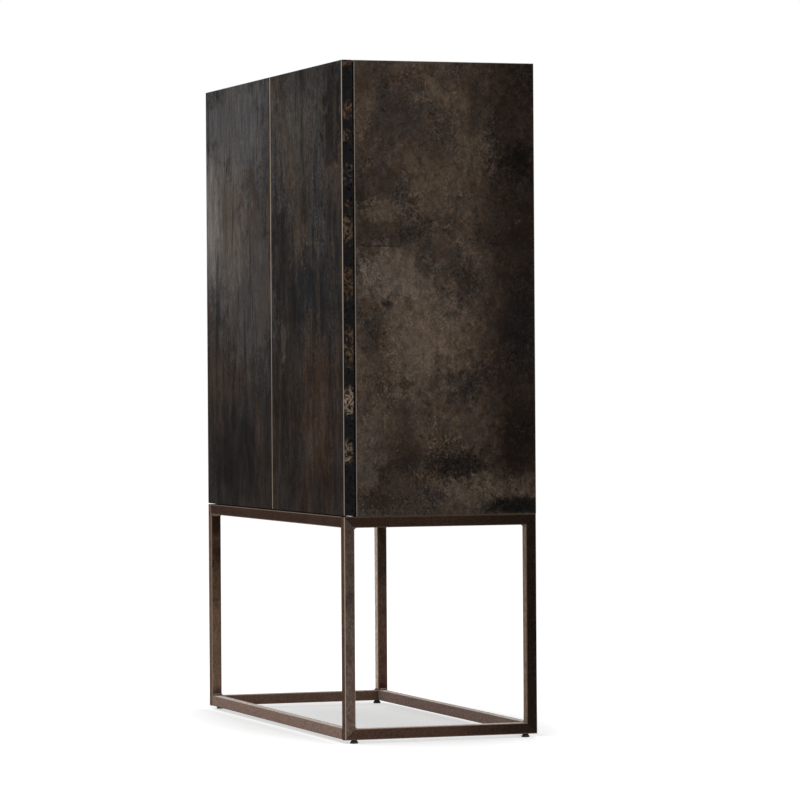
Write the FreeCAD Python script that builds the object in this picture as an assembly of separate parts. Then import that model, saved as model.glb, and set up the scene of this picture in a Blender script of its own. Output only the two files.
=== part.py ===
import FreeCAD
import Part
import math
import os
from collections import namedtuple

# Two-door bar cabinet on a welded stand of square tube.
# Millimetres. X runs to the right, Y to the back and Z up, with the floor at zero.

Screw = namedtuple("Screw", "dia head_dia head length")

# Overall size
WIDTH = 1067.0
DEPTH = 457.0
HEIGHT = 1520.0
CASE_HEIGHT = 1015.0

# Stand
TUBE = 25.0
TUBE_WALL = 2.0
TUBE_RADIUS = 3.0
FLOOR_GAP = 8.0
WELD_LEG = 5.0
TAB_REACH = 34.0
TAB_WIDTH = 30.0
TAB_THICK = 4.0
TAB_SPREAD_SHARE = 0.5
TAB_SCREW = Screw(dia=5.0, head_dia=10.0, head=3.0, length=16.0)

# Levelling feet
FOOT_INSET = 24.5
PAD_DIA = 18.0
PAD_NECK_DIA = 12.0
PAD_RIM_SHARE = 0.5
STUD_DIA = 8.0
STUD_BED_SHARE = 0.6
STUD_RISE_SHARE = 0.7
BUSH_DIA = 11.0
BUSH_FLANGE_DIA = 15.0
BUSH_FLANGE = 1.2
BUSH_RISE_SHARE = 0.5

# Case
PANEL = 22.0
EDGE_BEVEL = 2.0
BACK_BEVEL = 1.0
CORNER_BEVEL = 1.0
BACK_THICK = 8.0
BACK_RECESS = 2.0
REBATE = 10.0
BACK_SCREW = Screw(dia=3.4, head_dia=7.0, head=1.6, length=20.0)
BACK_SCREWS_UP = 4
BACK_SCREWS_ACROSS = 4
SPLINE_THICK = 4.0
SPLINE_WIDTH = 14.0
SPLINE_STOP = 20.0
SPLINE_SHARE = 0.35

# Shelves and divider
BOARD = 20.0
BOARD_EASE = 1.5
DADO = 6.0
LOWER_BAY = 392.0
BOARD_SETBACK = 12.0
LOOSE_BOARD = 18.0
LOOSE_SETBACK = 30.0
PIN_DIA = 5.0
PIN_HOLE = 8.0
PIN_BLADE = 9.0
PIN_BLADE_WIDTH = 8.0
PIN_INSET = 60.0
PIN_PITCH = 32.0
PIN_LEVELS = 5
PIN_LEVEL_SHARE = 0.52

# Stemware rails
RAIL_COUNT = 6
RAIL_PITCH = 95.0
RAIL_HEIGHT = 26.0
RAIL_SHEET = 2.5
RAIL_FOOT = 50.0
RAIL_HEAD = 26.0
RAIL_NOSE = 14.0
RAIL_START = 90.0
RAIL_STOP = 20.0
RAIL_SCREW_INSET = 20.0
RAIL_SCREW = Screw(dia=3.4, head_dia=6.5, head=1.6, length=14.0)

# Boards for lying bottles
BOTTLES = 4
BOTTLE_RADIUS = 41.0
NECK_RADIUS = 17.0
BOTTLE_LIFT = 12.0
CRADLE_SHARE = 0.5
CRADLE_BOARD = 16.0
CRADLE_START = 70.0
CRADLE_SPAN = 200.0

# Doors
DOOR_THICK = 25.5
DOOR_GAP = 4.0
DOOR_LIFT = 2.0
MEETING_GAP = 3.0

# Continuous hinge
LEAF = 0.9
LEAF_WIDTH = 14.0
HINGE_PIN_DIA = 1.6
HINGE_STOP = 5.0
KNUCKLES = 33
HINGE_SCREW = Screw(dia=2.6, head_dia=5.0, head=0.9, length=13.0)
HINGE_SCREWS = 6
CASE_SCREW_SHARE = 0.25
DOOR_SCREW_SHARE = 0.75

# Push latch
LATCH_OFFSET = 42.0
LATCH_WIDTH = 15.0
LATCH_DROP = 17.0
LATCH_LENGTH = 58.0
LATCH_BEVEL = 2.0
LATCH_WING = 2.5
LATCH_WING_WIDTH = 38.0
LATCH_WING_RADIUS = 4.0
LATCH_WING_SHARE = 0.5
LATCH_BORE_SHARE = 0.8
LATCH_SCREW = Screw(dia=3.0, head_dia=6.0, head=1.6, length=13.0)
PLUNGER_DIA = 6.0
PLUNGER_SHARE = 0.65
TIP_DIA = 9.0
TIP = 3.0
STRIKE_DIA = 16.0
STRIKE = 1.5

# Clearances
FIT = 0.25
LOOSE_FIT = 1.0
RUNNING_FIT = 0.05
SEAT_GAP = 0.3
SCREW_FIT = 0.1
OVERRUN = 5.0
TOUCH = 0.001

# Places that follow from the sizes
HALF_WIDTH = WIDTH / 2
HALF_DEPTH = DEPTH / 2
STAND_TOP = HEIGHT - CASE_HEIGHT
INNER_X = HALF_WIDTH - PANEL
INNER_FLOOR = STAND_TOP + PANEL
CEILING = HEIGHT - PANEL
DOOR_BACK = DOOR_THICK - HALF_DEPTH
CASE_FRONT = DOOR_BACK + DOOR_GAP
BACK_OUTSIDE = HALF_DEPTH - BACK_RECESS
BACK_INSIDE = BACK_OUTSIDE - BACK_THICK
BOARD_FRONT = CASE_FRONT + BOARD_SETBACK
SHELF_LOW = INNER_FLOOR + LOWER_BAY
PIN_LEVEL = INNER_FLOOR + LOWER_BAY * PIN_LEVEL_SHARE
PAD_HEIGHT = FLOOR_GAP - BUSH_FLANGE - SEAT_GAP
AXIS_X = HALF_WIDTH - DOOR_GAP / 2
AXIS_Y = DOOR_BACK + DOOR_GAP / 2
BARREL_RADIUS = DOOR_GAP / 2 - SEAT_GAP
LEAF_EDGE = AXIS_X - BARREL_RADIUS - SEAT_GAP
HINGE_LOW = STAND_TOP + DOOR_LIFT + HINGE_STOP
HINGE_HIGH = HEIGHT - HINGE_STOP
LATCH_FRONT = DOOR_BACK + STRIKE + SEAT_GAP + TIP + SEAT_GAP
LATCH_LEVEL = CEILING - LATCH_DROP / 2

X_AXIS = FreeCAD.Vector(1, 0, 0)
Y_AXIS = FreeCAD.Vector(0, 1, 0)
Z_AXIS = FreeCAD.Vector(0, 0, 1)
ORIGIN = FreeCAD.Vector(0, 0, 0)
SIDES = {"left": -1, "right": 1}
ENDS = {"front": -1, "rear": 1}


def at(x, y, z):
    """A point in the cabinet's frame."""
    return FreeCAD.Vector(x, y, z)


def block(x_span, y_span, z_span):
    """A box between three pairs of limits, given in either order."""
    spans = [sorted(span) for span in (x_span, y_span, z_span)]
    low = at(*(span[0] for span in spans))
    return Part.makeBox(*(span[1] - span[0] for span in spans), low)


def around(middle, size):
    """The limits of a length that is centred on a place."""
    return middle - size / 2, middle + size / 2


def rod(dia, start, direction, length):
    """A round bar from a point along a direction."""
    return Part.makeCylinder(dia / 2, length, start, direction)


def prism(points, sweep):
    """A solid swept from a closed polygon."""
    wire = Part.makePolygon(points + points[:1])
    return Part.Face(wire).extrude(sweep)


def one_solid(shape):
    """The cleaned solid of a shape that holds just one."""
    return shape.removeSplitter().Solids[0]


def without(shape, tools):
    """The shape with every tool cut out of it."""
    return one_solid(shape.cut(list(tools)))


def joined(shapes):
    """One solid out of shapes that meet."""
    return one_solid(shapes[0].fuse(shapes[1:]))


def mirrored(shape):
    """The same piece on the left side."""
    return shape.mirror(ORIGIN, X_AXIS)


def bevelled(shape, size, chosen):
    """The shape with the edges whose middle is chosen cut back."""
    return shape.makeChamfer(size, [edge for edge in shape.Edges if chosen(edge.CenterOfMass)])


def rounded(shape, radius, chosen):
    """The shape with the edges whose middle is chosen rounded off."""
    return shape.makeFillet(radius, [edge for edge in shape.Edges if chosen(edge.CenterOfMass)])


def near(value, place):
    """Whether a coordinate lies on a place."""
    return abs(value - place) < TOUCH


def screw(kind, seat, direction):
    """A screw whose head sits on the seat and whose shank runs along the direction."""
    head = rod(kind.head_dia, seat, direction * -1, kind.head)
    return joined([head, rod(kind.dia, seat, direction, kind.length)])


def pilot(kind, seat, direction):
    """The hole that a screw needs in every piece it passes."""
    start = seat - direction * OVERRUN
    length = OVERRUN + kind.length + SCREW_FIT
    return rod(kind.dia + 2 * SCREW_FIT, start, direction, length)


def save(name, shapes):
    """Write the solids of one named piece or group."""
    Part.makeCompound(list(shapes)).exportStep(os.path.join("parts", name + ".step"))


def square_tube(length):
    """A square tube with rounded edges, upright on the origin."""
    half = TUBE / 2
    outside = block((-half, half), (-half, half), (0, length))
    corners = [edge for edge in outside.Edges if near(edge.CenterOfMass.z, length / 2)]
    outside = outside.makeFillet(TUBE_RADIUS, corners)
    bore = half - TUBE_WALL
    inside = block((-bore, bore), (-bore, bore), (-OVERRUN, length + OVERRUN))
    return outside.cut(inside)


def mitred_tube(length):
    """A tube with both ends mitred, its long side towards the front."""
    half = TUBE / 2
    outline = [at(-half, -half, 0), at(-half, -half, length),
               at(-half, half, length - TUBE), at(-half, half, TUBE)]
    return one_solid(square_tube(length).common(prism(outline, X_AXIS * TUBE)))


def turned(shape, axis, angle, place):
    """The shape turned about an axis through the origin, then moved."""
    shape = shape.copy()
    shape.rotate(ORIGIN, axis, angle)
    shape.translate(place)
    return shape


def foot_places():
    """The name and the X and Y of every foot."""
    for end, back in ENDS.items():
        for side, right in SIDES.items():
            x = right * (HALF_WIDTH - TUBE / 2)
            yield f"{end}_{side}", x, back * (HALF_DEPTH - FOOT_INSET)


def stand_tubes():
    """The twelve tubes of the stand by name."""
    tubes = {}
    half = TUBE / 2
    leg_length = STAND_TOP - FLOOR_GAP
    leg = mitred_tube(leg_length)
    side_rail = mitred_tube(DEPTH)
    cross_rail = square_tube(WIDTH - 2 * TUBE)
    bush_holes = [rod(BUSH_DIA + 2 * FIT, at(x, y, 0), Z_AXIS, FLOOR_GAP + TUBE / 2)
                  for _, x, y in foot_places()]
    for side, right in SIDES.items():
        x = right * (HALF_WIDTH - half)
        tubes[f"leg_front_{side}"] = turned(leg, Z_AXIS, 0, at(x, half - HALF_DEPTH, FLOOR_GAP))
        tubes[f"leg_rear_{side}"] = turned(leg, Z_AXIS, 180, at(x, HALF_DEPTH - half, FLOOR_GAP))
        tubes[f"top_rail_{side}"] = turned(side_rail, X_AXIS, -90, at(x, -HALF_DEPTH, STAND_TOP - half))
        low_rail = turned(side_rail, X_AXIS, 90, at(x, HALF_DEPTH, FLOOR_GAP + half))
        tubes[f"floor_rail_{side}"] = without(low_rail, bush_holes)
    for end, back in ENDS.items():
        y = back * (HALF_DEPTH - half)
        x = TUBE - HALF_WIDTH
        tubes[f"top_rail_{end}"] = turned(cross_rail, Y_AXIS, 90, at(x, y, STAND_TOP - half))
        tubes[f"floor_rail_{end}"] = turned(cross_rail, Y_AXIS, 90, at(x, y, FLOOR_GAP + half))
    return tubes


def weld(corner, first, second, along):
    """A hollow fillet in the corner between two directions, centred along a third."""
    start = corner - along * (TUBE / 2 - TUBE_RADIUS)
    one = start + first * WELD_LEG
    two = start + second * WELD_LEG
    middle = start + (first + second) * (WELD_LEG * (1 - math.sqrt(0.5)))
    edges = [Part.makeLine(start, one), Part.Arc(one, middle, two).toShape(), Part.makeLine(two, start)]
    return Part.Face(Part.Wire(edges)).extrude(along * (TUBE - 2 * TUBE_RADIUS))


def weld_fillets():
    """The fillets in the inner corners of the stand."""
    fillets = []
    for right in SIDES.values():
        for back in ENDS.values():
            for level, up in ((FLOOR_GAP + TUBE, 1), (STAND_TOP - TUBE, -1)):
                leg_x = right * (HALF_WIDTH - TUBE / 2)
                leg_y = back * (HALF_DEPTH - TUBE / 2)
                inner_x = right * (HALF_WIDTH - TUBE)
                inner_y = back * (HALF_DEPTH - TUBE)
                fillets.append(weld(at(leg_x, inner_y, level), Y_AXIS * -back, Z_AXIS * up, X_AXIS))
                fillets.append(weld(at(inner_x, leg_y, level), X_AXIS * -right, Z_AXIS * up, Y_AXIS))
    return fillets


def tab_places():
    """The X and Y limits of every case tab."""
    inner_x = HALF_WIDTH - TUBE
    inner_y = HALF_DEPTH - TUBE
    for right in SIDES.values():
        for back in ENDS.values():
            side_span = (right * inner_x, right * (inner_x - TAB_REACH))
            yield side_span, around(back * HALF_DEPTH * TAB_SPREAD_SHARE, TAB_WIDTH)
        middle = right * HALF_WIDTH * TAB_SPREAD_SHARE
        yield around(middle, TAB_WIDTH), (inner_y, inner_y - TAB_REACH)


def tab_seats():
    """The seat of the screw in every case tab."""
    return [at(sum(x_span) / 2, sum(y_span) / 2, STAND_TOP - TAB_THICK) for x_span, y_span in tab_places()]


def tab_pilots():
    """The holes of the screws that hold the case on the stand."""
    return [pilot(TAB_SCREW, seat, Z_AXIS) for seat in tab_seats()]


def case_tabs():
    """The drilled tabs inside the top rails."""
    tabs = [block(x_span, y_span, (STAND_TOP - TAB_THICK, STAND_TOP)) for x_span, y_span in tab_places()]
    return [without(tab, [hole]) for tab, hole in zip(tabs, tab_pilots())]


def foot_pad(x, y):
    """A round pad with a conical neck and a bed for its stud."""
    rim = PAD_HEIGHT * PAD_RIM_SHARE
    disc = rod(PAD_DIA, at(x, y, 0), Z_AXIS, rim)
    neck = Part.makeCone(PAD_DIA / 2, PAD_NECK_DIA / 2, PAD_HEIGHT - rim, at(x, y, rim), Z_AXIS)
    bed = rod(STUD_DIA, at(x, y, PAD_HEIGHT * (1 - STUD_BED_SHARE)), Z_AXIS, PAD_HEIGHT)
    return without(joined([disc, neck]), [bed])


def foot_stud(x, y):
    """The threaded stud of a foot."""
    low = PAD_HEIGHT * (1 - STUD_BED_SHARE)
    return rod(STUD_DIA, at(x, y, low), Z_AXIS, FLOOR_GAP + TUBE * STUD_RISE_SHARE - low)


def foot_bush(x, y):
    """The flanged bush in a floor rail that takes a stud."""
    flange = rod(BUSH_FLANGE_DIA, at(x, y, FLOOR_GAP - BUSH_FLANGE), Z_AXIS, BUSH_FLANGE)
    body = rod(BUSH_DIA, at(x, y, FLOOR_GAP), Z_AXIS, TUBE * BUSH_RISE_SHARE)
    bore = rod(STUD_DIA + 2 * RUNNING_FIT, at(x, y, 0), Z_AXIS, FLOOR_GAP + TUBE)
    return without(joined([flange, body]), [bore])


def upright_section(y_span):
    """The right side panel: mitred at both ends, with its sharp corners taken off."""
    half_bevel = CORNER_BEVEL / 2
    outline = [(HALF_WIDTH, STAND_TOP + CORNER_BEVEL), (HALF_WIDTH, HEIGHT - CORNER_BEVEL),
               (HALF_WIDTH - half_bevel, HEIGHT - half_bevel), (INNER_X, CEILING),
               (INNER_X, INNER_FLOOR), (HALF_WIDTH - half_bevel, STAND_TOP + half_bevel)]
    return prism([at(x, y_span[0], z) for x, z in outline], Y_AXIS * (y_span[1] - y_span[0]))


def level_section(outside, inside, y_span):
    """A top or bottom panel between its outer and inner level."""
    up = math.copysign(CORNER_BEVEL, outside - inside)
    half = [(HALF_WIDTH - CORNER_BEVEL, outside), (HALF_WIDTH - CORNER_BEVEL / 2, outside - up / 2),
            (INNER_X, inside)]
    outline = half + [(-x, z) for x, z in reversed(half)]
    return prism([at(x, y_span[0], z) for x, z in outline], Y_AXIS * (y_span[1] - y_span[0]))


def spline(right, up, play):
    """The loose tongue in one mitred corner, or its groove when it has play."""
    corner = at(right * INNER_X, 0, CEILING if up > 0 else INNER_FLOOR)
    outward = at(right, 0, up).normalize()
    across = at(right, 0, -up).normalize()
    middle = corner + outward * (PANEL * math.sqrt(2) * SPLINE_SHARE)
    wide = across * (SPLINE_WIDTH / 2 + play)
    thick = outward * (SPLINE_THICK / 2 + play)
    start = CASE_FRONT + SPLINE_STOP - play
    length = BACK_INSIDE - SPLINE_STOP + play - start
    corners = [middle - wide - thick, middle + wide - thick, middle + wide + thick, middle - wide + thick]
    return prism([point + Y_AXIS * start for point in corners], Y_AXIS * length)


def splines(play):
    """The tongues of all four corners."""
    return [spline(right, up, play) for right in SIDES.values() for up in (-1, 1)]


def back_limits(play):
    """The X and Z limits of the back panel in its rebate."""
    reach = INNER_X + REBATE - play
    return (-reach, reach), (INNER_FLOOR - REBATE + play, CEILING + REBATE - play)


def back_seats():
    """The seats of the screws round the back panel."""
    seats = []
    height = CEILING - INNER_FLOOR
    for right in SIDES.values():
        for step in range(BACK_SCREWS_UP):
            z = INNER_FLOOR + height * (step + 0.5) / BACK_SCREWS_UP
            seats.append(at(right * (INNER_X + REBATE / 2), BACK_OUTSIDE, z))
    for z in (INNER_FLOOR - REBATE / 2, CEILING + REBATE / 2):
        for step in range(BACK_SCREWS_ACROSS):
            x = 2 * INNER_X * ((step + 0.5) / BACK_SCREWS_ACROSS - 0.5)
            seats.append(at(x, BACK_OUTSIDE, z))
    return seats


def back_pilots():
    """The holes of the screws round the back panel."""
    return [pilot(BACK_SCREW, seat, Y_AXIS * -1) for seat in back_seats()]


def pin_places():
    """The wall X, the direction into the wall and the Y of every shelf pin."""
    for right in SIDES.values():
        for wall, into in ((INNER_X, 1), (BOARD / 2, -1)):
            for y in (CASE_FRONT + PIN_INSET, BACK_INSIDE - PIN_INSET):
                yield right * wall, right * into, y


def pin_holes():
    """The rows of holes for the shelf pins."""
    holes = []
    for x, into, y in pin_places():
        for level in range(PIN_LEVELS):
            z = PIN_LEVEL + (level - (PIN_LEVELS - 1) / 2) * PIN_PITCH
            holes.append(rod(PIN_DIA + 2 * SCREW_FIT, at(x, y, z), X_AXIS * into, PIN_HOLE))
    return holes


def shelf_pins():
    """The pins with a flat blade under the loose shelves."""
    pins = []
    for x, into, y in pin_places():
        shank = rod(PIN_DIA, at(x, y, PIN_LEVEL), X_AXIS * into, PIN_HOLE - SEAT_GAP)
        blade = block((x, x - into * PIN_BLADE), around(y, PIN_BLADE_WIDTH), around(PIN_LEVEL, PIN_DIA))
        pins.append(joined([shank, blade]))
    return pins


def hinge_seats(share, y):
    """The seats of the screws along the right hinge."""
    spacing = (HINGE_HIGH - HINGE_LOW) / HINGE_SCREWS
    x = LEAF_EDGE - LEAF_WIDTH / 2
    return [at(x, y, HINGE_LOW + (step + share) * spacing) for step in range(HINGE_SCREWS)]


def case_hinge_seats():
    """The screw seats on the leaf of the case."""
    return hinge_seats(CASE_SCREW_SHARE, CASE_FRONT - LEAF)


def door_hinge_seats():
    """The screw seats on the leaf of the door."""
    return hinge_seats(DOOR_SCREW_SHARE, DOOR_BACK + LEAF)


def hinge_leaf(y_span, first, pilots):
    """One leaf of the right hinge with every second knuckle round the pin."""
    height = (HINGE_LOW, HINGE_HIGH)
    pitch = (HINGE_HIGH - HINGE_LOW) / KNUCKLES
    pieces = [block((LEAF_EDGE - LEAF_WIDTH, LEAF_EDGE), y_span, height)]
    for step in range(first, KNUCKLES, 2):
        low = HINGE_LOW + step * pitch + SEAT_GAP / 2
        length = pitch - SEAT_GAP
        pieces.append(block((LEAF_EDGE, AXIS_X), y_span, (low, low + length)))
        pieces.append(rod(2 * BARREL_RADIUS, at(AXIS_X, AXIS_Y, low), Z_AXIS, length))
    bore = rod(HINGE_PIN_DIA + 2 * RUNNING_FIT, at(AXIS_X, AXIS_Y, 0), Z_AXIS, HEIGHT)
    return without(joined(pieces), [bore] + pilots)


def side_panel():
    """The right side panel with all its grooves and holes."""
    panel = upright_section((CASE_FRONT, HALF_DEPTH))
    panel = bevelled(panel, EDGE_BEVEL, lambda p: near(p.x, HALF_WIDTH) and near(p.y, CASE_FRONT))
    panel = bevelled(panel, BACK_BEVEL, lambda p: near(p.x, HALF_WIDTH) and near(p.y, HALF_DEPTH))
    dado = block((0, INNER_X + DADO), (BOARD_FRONT - FIT, BACK_INSIDE), (SHELF_LOW, SHELF_LOW + BOARD + FIT))
    pilots = [pilot(HINGE_SCREW, seat, Y_AXIS) for seat in case_hinge_seats()]
    return without(panel, [rebate(), dado] + splines(FIT) + pin_holes() + pilots + back_pilots())


def rebate():
    """The space that the back panel takes out of the case."""
    x_span, z_span = back_limits(0)
    return block(x_span, (BACK_INSIDE, HALF_DEPTH + OVERRUN), z_span)


def divider_groove(low, high):
    """The groove that takes an end of the divider."""
    return block(around(0, BOARD + 2 * FIT), (BOARD_FRONT - FIT, BACK_INSIDE), (low, high))


def rail_places():
    """The middle X of every stemware rail."""
    return [(step - (RAIL_COUNT - 1) / 2) * RAIL_PITCH for step in range(RAIL_COUNT)]


def rail_seats():
    """The seats of the screws in the upper flanges of the stemware rails."""
    offset = RAIL_HEAD / 4 + RAIL_SHEET / 4
    front = CASE_FRONT + RAIL_START + RAIL_SCREW_INSET
    rear = BACK_INSIDE - RAIL_STOP - RAIL_SCREW_INSET
    return [at(x + way * offset, y, CEILING - RAIL_SHEET)
            for x in rail_places() for y, way in ((front, 1), (rear, -1))]


def stemware_rail(x):
    """A rail with a narrow upper flange and a wide lower one, rounded in front, for the glasses."""
    web = RAIL_SHEET / 2
    low = CEILING - RAIL_HEIGHT
    half = [(RAIL_HEAD / 2, CEILING), (RAIL_HEAD / 2, CEILING - RAIL_SHEET), (web, CEILING - RAIL_SHEET),
            (web, low + RAIL_SHEET), (RAIL_FOOT / 2, low + RAIL_SHEET), (RAIL_FOOT / 2, low)]
    outline = [(x + dx, z) for dx, z in half] + [(x - dx, z) for dx, z in reversed(half)]
    start = CASE_FRONT + RAIL_START
    length = BACK_INSIDE - RAIL_STOP - start
    rail = prism([at(px, start, z) for px, z in outline], Y_AXIS * length)
    return rounded(rail, RAIL_NOSE, lambda p: near(p.y, start) and near(abs(p.x - x), RAIL_FOOT / 2))


def stemware_rails():
    """All stemware rails, drilled for their screws."""
    pilots = [pilot(RAIL_SCREW, seat, Z_AXIS) for seat in rail_seats()]
    return [without(stemware_rail(x), pilots) for x in rail_places()]


def cradle_board(radius, start):
    """A board with a hollow for every lying bottle."""
    axis = INNER_FLOOR + BOTTLE_LIFT + BOTTLE_RADIUS
    left = BOARD / 2 + FIT
    width = INNER_X - FIT - left
    top = axis - radius * (1 - CRADLE_SHARE)
    board = block((left, left + width), (start, start + CRADLE_BOARD), (INNER_FLOOR, top))
    hollows = [rod(2 * radius, at(left + width * (step + 0.5) / BOTTLES, start - OVERRUN, axis), Y_AXIS,
                   CRADLE_BOARD + 2 * OVERRUN) for step in range(BOTTLES)]
    return without(board, hollows)


def latch_seats():
    """The seats of the two screws in the wings of the right latch."""
    offset = (LATCH_WIDTH + LATCH_WING_WIDTH) / 4
    y = LATCH_FRONT + LATCH_LENGTH / 2
    return [at(LATCH_OFFSET + way * offset, y, CEILING - LATCH_WING) for way in SIDES.values()]


def latch_pilots():
    """The holes of the screws in the wings of the right latch."""
    return [pilot(LATCH_SCREW, seat, Z_AXIS) for seat in latch_seats()]


def latch_housing():
    """The right latch housing with its two rounded wings and the bore of the plunger."""
    y_span = (LATCH_FRONT, LATCH_FRONT + LATCH_LENGTH)
    low = CEILING - LATCH_DROP
    body = block(around(LATCH_OFFSET, LATCH_WIDTH), y_span, (low, CEILING))
    body = bevelled(body, LATCH_BEVEL, lambda p: near(p.z, low))
    wing_span = around(LATCH_FRONT + LATCH_LENGTH / 2, LATCH_LENGTH * LATCH_WING_SHARE)
    wings = block(around(LATCH_OFFSET, LATCH_WING_WIDTH), wing_span, (CEILING - LATCH_WING, CEILING))
    wings = rounded(wings, LATCH_WING_RADIUS, lambda p: near(p.z, CEILING - LATCH_WING / 2))
    bore = rod(PLUNGER_DIA + 2 * RUNNING_FIT, at(LATCH_OFFSET, LATCH_FRONT, LATCH_LEVEL), Y_AXIS,
               LATCH_LENGTH * LATCH_BORE_SHARE)
    return without(joined([body, wings]), [bore] + latch_pilots())


def latch_plunger():
    """The right latch plunger: a rod with a wider tip."""
    tip = rod(TIP_DIA, at(LATCH_OFFSET, LATCH_FRONT - SEAT_GAP, LATCH_LEVEL), Y_AXIS * -1, TIP)
    shaft = rod(PLUNGER_DIA, at(LATCH_OFFSET, LATCH_FRONT - SEAT_GAP, LATCH_LEVEL), Y_AXIS,
                LATCH_LENGTH * PLUNGER_SHARE)
    return joined([tip, shaft])


def door():
    """The right door, bevelled all round."""
    front = -HALF_DEPTH
    slab = block((MEETING_GAP / 2, HALF_WIDTH), (front, DOOR_BACK), (STAND_TOP + DOOR_LIFT, HEIGHT))
    slab = bevelled(slab, EDGE_BEVEL, lambda p: near(p.y, front))
    slab = bevelled(slab, BACK_BEVEL, lambda p: near(p.y, DOOR_BACK))
    return without(slab, [pilot(HINGE_SCREW, seat, Y_AXIS * -1) for seat in door_hinge_seats()])


def loose_shelf():
    """The right loose shelf on its pins, with an eased front."""
    x_span = (BOARD / 2 + LOOSE_FIT, INNER_X - LOOSE_FIT)
    front = CASE_FRONT + LOOSE_SETBACK
    low = PIN_LEVEL + PIN_DIA / 2
    board = block(x_span, (front, BACK_INSIDE - LOOSE_FIT), (low, low + LOOSE_BOARD))
    return bevelled(board, BOARD_EASE, lambda p: near(p.y, front) and near(p.x, sum(x_span) / 2))


def build_stand():
    """Write the stand and its feet."""
    for name, tube in stand_tubes().items():
        save(name, [tube])
    save("weld_fillets", weld_fillets())
    save("case_tabs", case_tabs())
    save("case_tab_screws", [screw(TAB_SCREW, seat, Z_AXIS) for seat in tab_seats()])
    save("foot_bushes", [foot_bush(x, y) for _, x, y in foot_places()])
    for name, x, y in foot_places():
        save("foot_pad_" + name, [foot_pad(x, y)])
        save("foot_stud_" + name, [foot_stud(x, y)])


def build_case():
    """Write the panels of the case and what holds them together."""
    panel = side_panel()
    save("side_panel_right", [panel])
    save("side_panel_left", [mirrored(panel)])
    y_span = (CASE_FRONT, HALF_DEPTH)
    ceiling_pilots = [pilot(RAIL_SCREW, seat, Z_AXIS) for seat in rail_seats()]
    ceiling_pilots += latch_pilots() + [mirrored(hole) for hole in latch_pilots()]
    shared = [rebate()] + splines(FIT) + back_pilots()
    save("top_panel", [without(level_section(HEIGHT, CEILING, y_span), shared + ceiling_pilots)])
    groove = divider_groove(INNER_FLOOR - DADO, INNER_FLOOR + OVERRUN)
    floor = level_section(STAND_TOP, INNER_FLOOR, y_span)
    save("bottom_panel", [without(floor, shared + tab_pilots() + [groove])])
    x_span, z_span = back_limits(FIT)
    save("back_panel", [without(block(x_span, (BACK_INSIDE, BACK_OUTSIDE), z_span), back_pilots())])
    save("back_screws", [screw(BACK_SCREW, seat, Y_AXIS * -1) for seat in back_seats()])
    save("mitre_splines", splines(0))


def build_inside():
    """Write the shelves and the bar fittings."""
    y_span = (BOARD_FRONT, BACK_INSIDE - FIT)
    reach = INNER_X + DADO - FIT
    shelf = block((-reach, reach), y_span, (SHELF_LOW, SHELF_LOW + BOARD))
    shelf = bevelled(shelf, BOARD_EASE, lambda p: near(p.y, BOARD_FRONT) and near(p.x, 0))
    groove = divider_groove(SHELF_LOW - OVERRUN, SHELF_LOW + DADO)
    save("fixed_shelf", [without(shelf, [groove])])
    divider = block(around(0, BOARD), y_span, (INNER_FLOOR - DADO, SHELF_LOW + DADO - FIT))
    divider = bevelled(divider, BOARD_EASE, lambda p: near(p.y, BOARD_FRONT) and near(abs(p.x), BOARD / 2))
    save("divider", [without(divider, pin_holes())])
    save("shelf_right", [loose_shelf()])
    save("shelf_left", [mirrored(loose_shelf())])
    save("shelf_pins", shelf_pins())
    save("stemware_rails", stemware_rails())
    save("stemware_screws", [screw(RAIL_SCREW, seat, Z_AXIS) for seat in rail_seats()])
    save("bottle_board_front", [cradle_board(NECK_RADIUS, CASE_FRONT + CRADLE_START)])
    save("bottle_board_rear", [cradle_board(BOTTLE_RADIUS, CASE_FRONT + CRADLE_START + CRADLE_SPAN)])


def build_doors():
    """Write both doors with their hinges and latches."""
    case_pilots = [pilot(HINGE_SCREW, seat, Y_AXIS) for seat in case_hinge_seats()]
    door_pilots = [pilot(HINGE_SCREW, seat, Y_AXIS * -1) for seat in door_hinge_seats()]
    strike_middle = at(LATCH_OFFSET, DOOR_BACK, LATCH_LEVEL)
    right_pieces = {
        "door": [door()],
        "hinge_case_leaf": [hinge_leaf((CASE_FRONT - LEAF, CASE_FRONT), 0, case_pilots)],
        "hinge_door_leaf": [hinge_leaf((DOOR_BACK, DOOR_BACK + LEAF), 1, door_pilots)],
        "hinge_pin": [rod(HINGE_PIN_DIA, at(AXIS_X, AXIS_Y, HINGE_LOW), Z_AXIS, HINGE_HIGH - HINGE_LOW)],
        "hinge_door_screws": [screw(HINGE_SCREW, seat, Y_AXIS * -1) for seat in door_hinge_seats()],
        "latch_housing": [latch_housing()],
        "latch_plunger": [latch_plunger()],
        "latch_strike": [rod(STRIKE_DIA, strike_middle, Y_AXIS, STRIKE)],
    }
    for name, shapes in right_pieces.items():
        save(name + "_right", shapes)
        save(name + "_left", [mirrored(shape) for shape in shapes])
    case_screws = [screw(HINGE_SCREW, seat, Y_AXIS) for seat in case_hinge_seats()]
    save("hinge_case_screws", case_screws + [mirrored(shape) for shape in case_screws])
    latch_screws = [screw(LATCH_SCREW, seat, Z_AXIS) for seat in latch_seats()]
    save("latch_screws", latch_screws + [mirrored(shape) for shape in latch_screws])


os.makedirs("parts", exist_ok=True)
build_stand()
build_case()
build_inside()
build_doors()
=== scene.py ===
"""Dresses the bar cabinet: a patinated case with two doors on a welded stand of bronzed square tube.

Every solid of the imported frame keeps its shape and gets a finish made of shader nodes.
The rippled weld beads in the corners of the stand are built here.
"""

import logging
import math
from collections.abc import Callable, Iterable, Sequence
from dataclasses import dataclass
from enum import Enum

import bmesh
import bpy
from mathutils import Matrix, Vector

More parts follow.
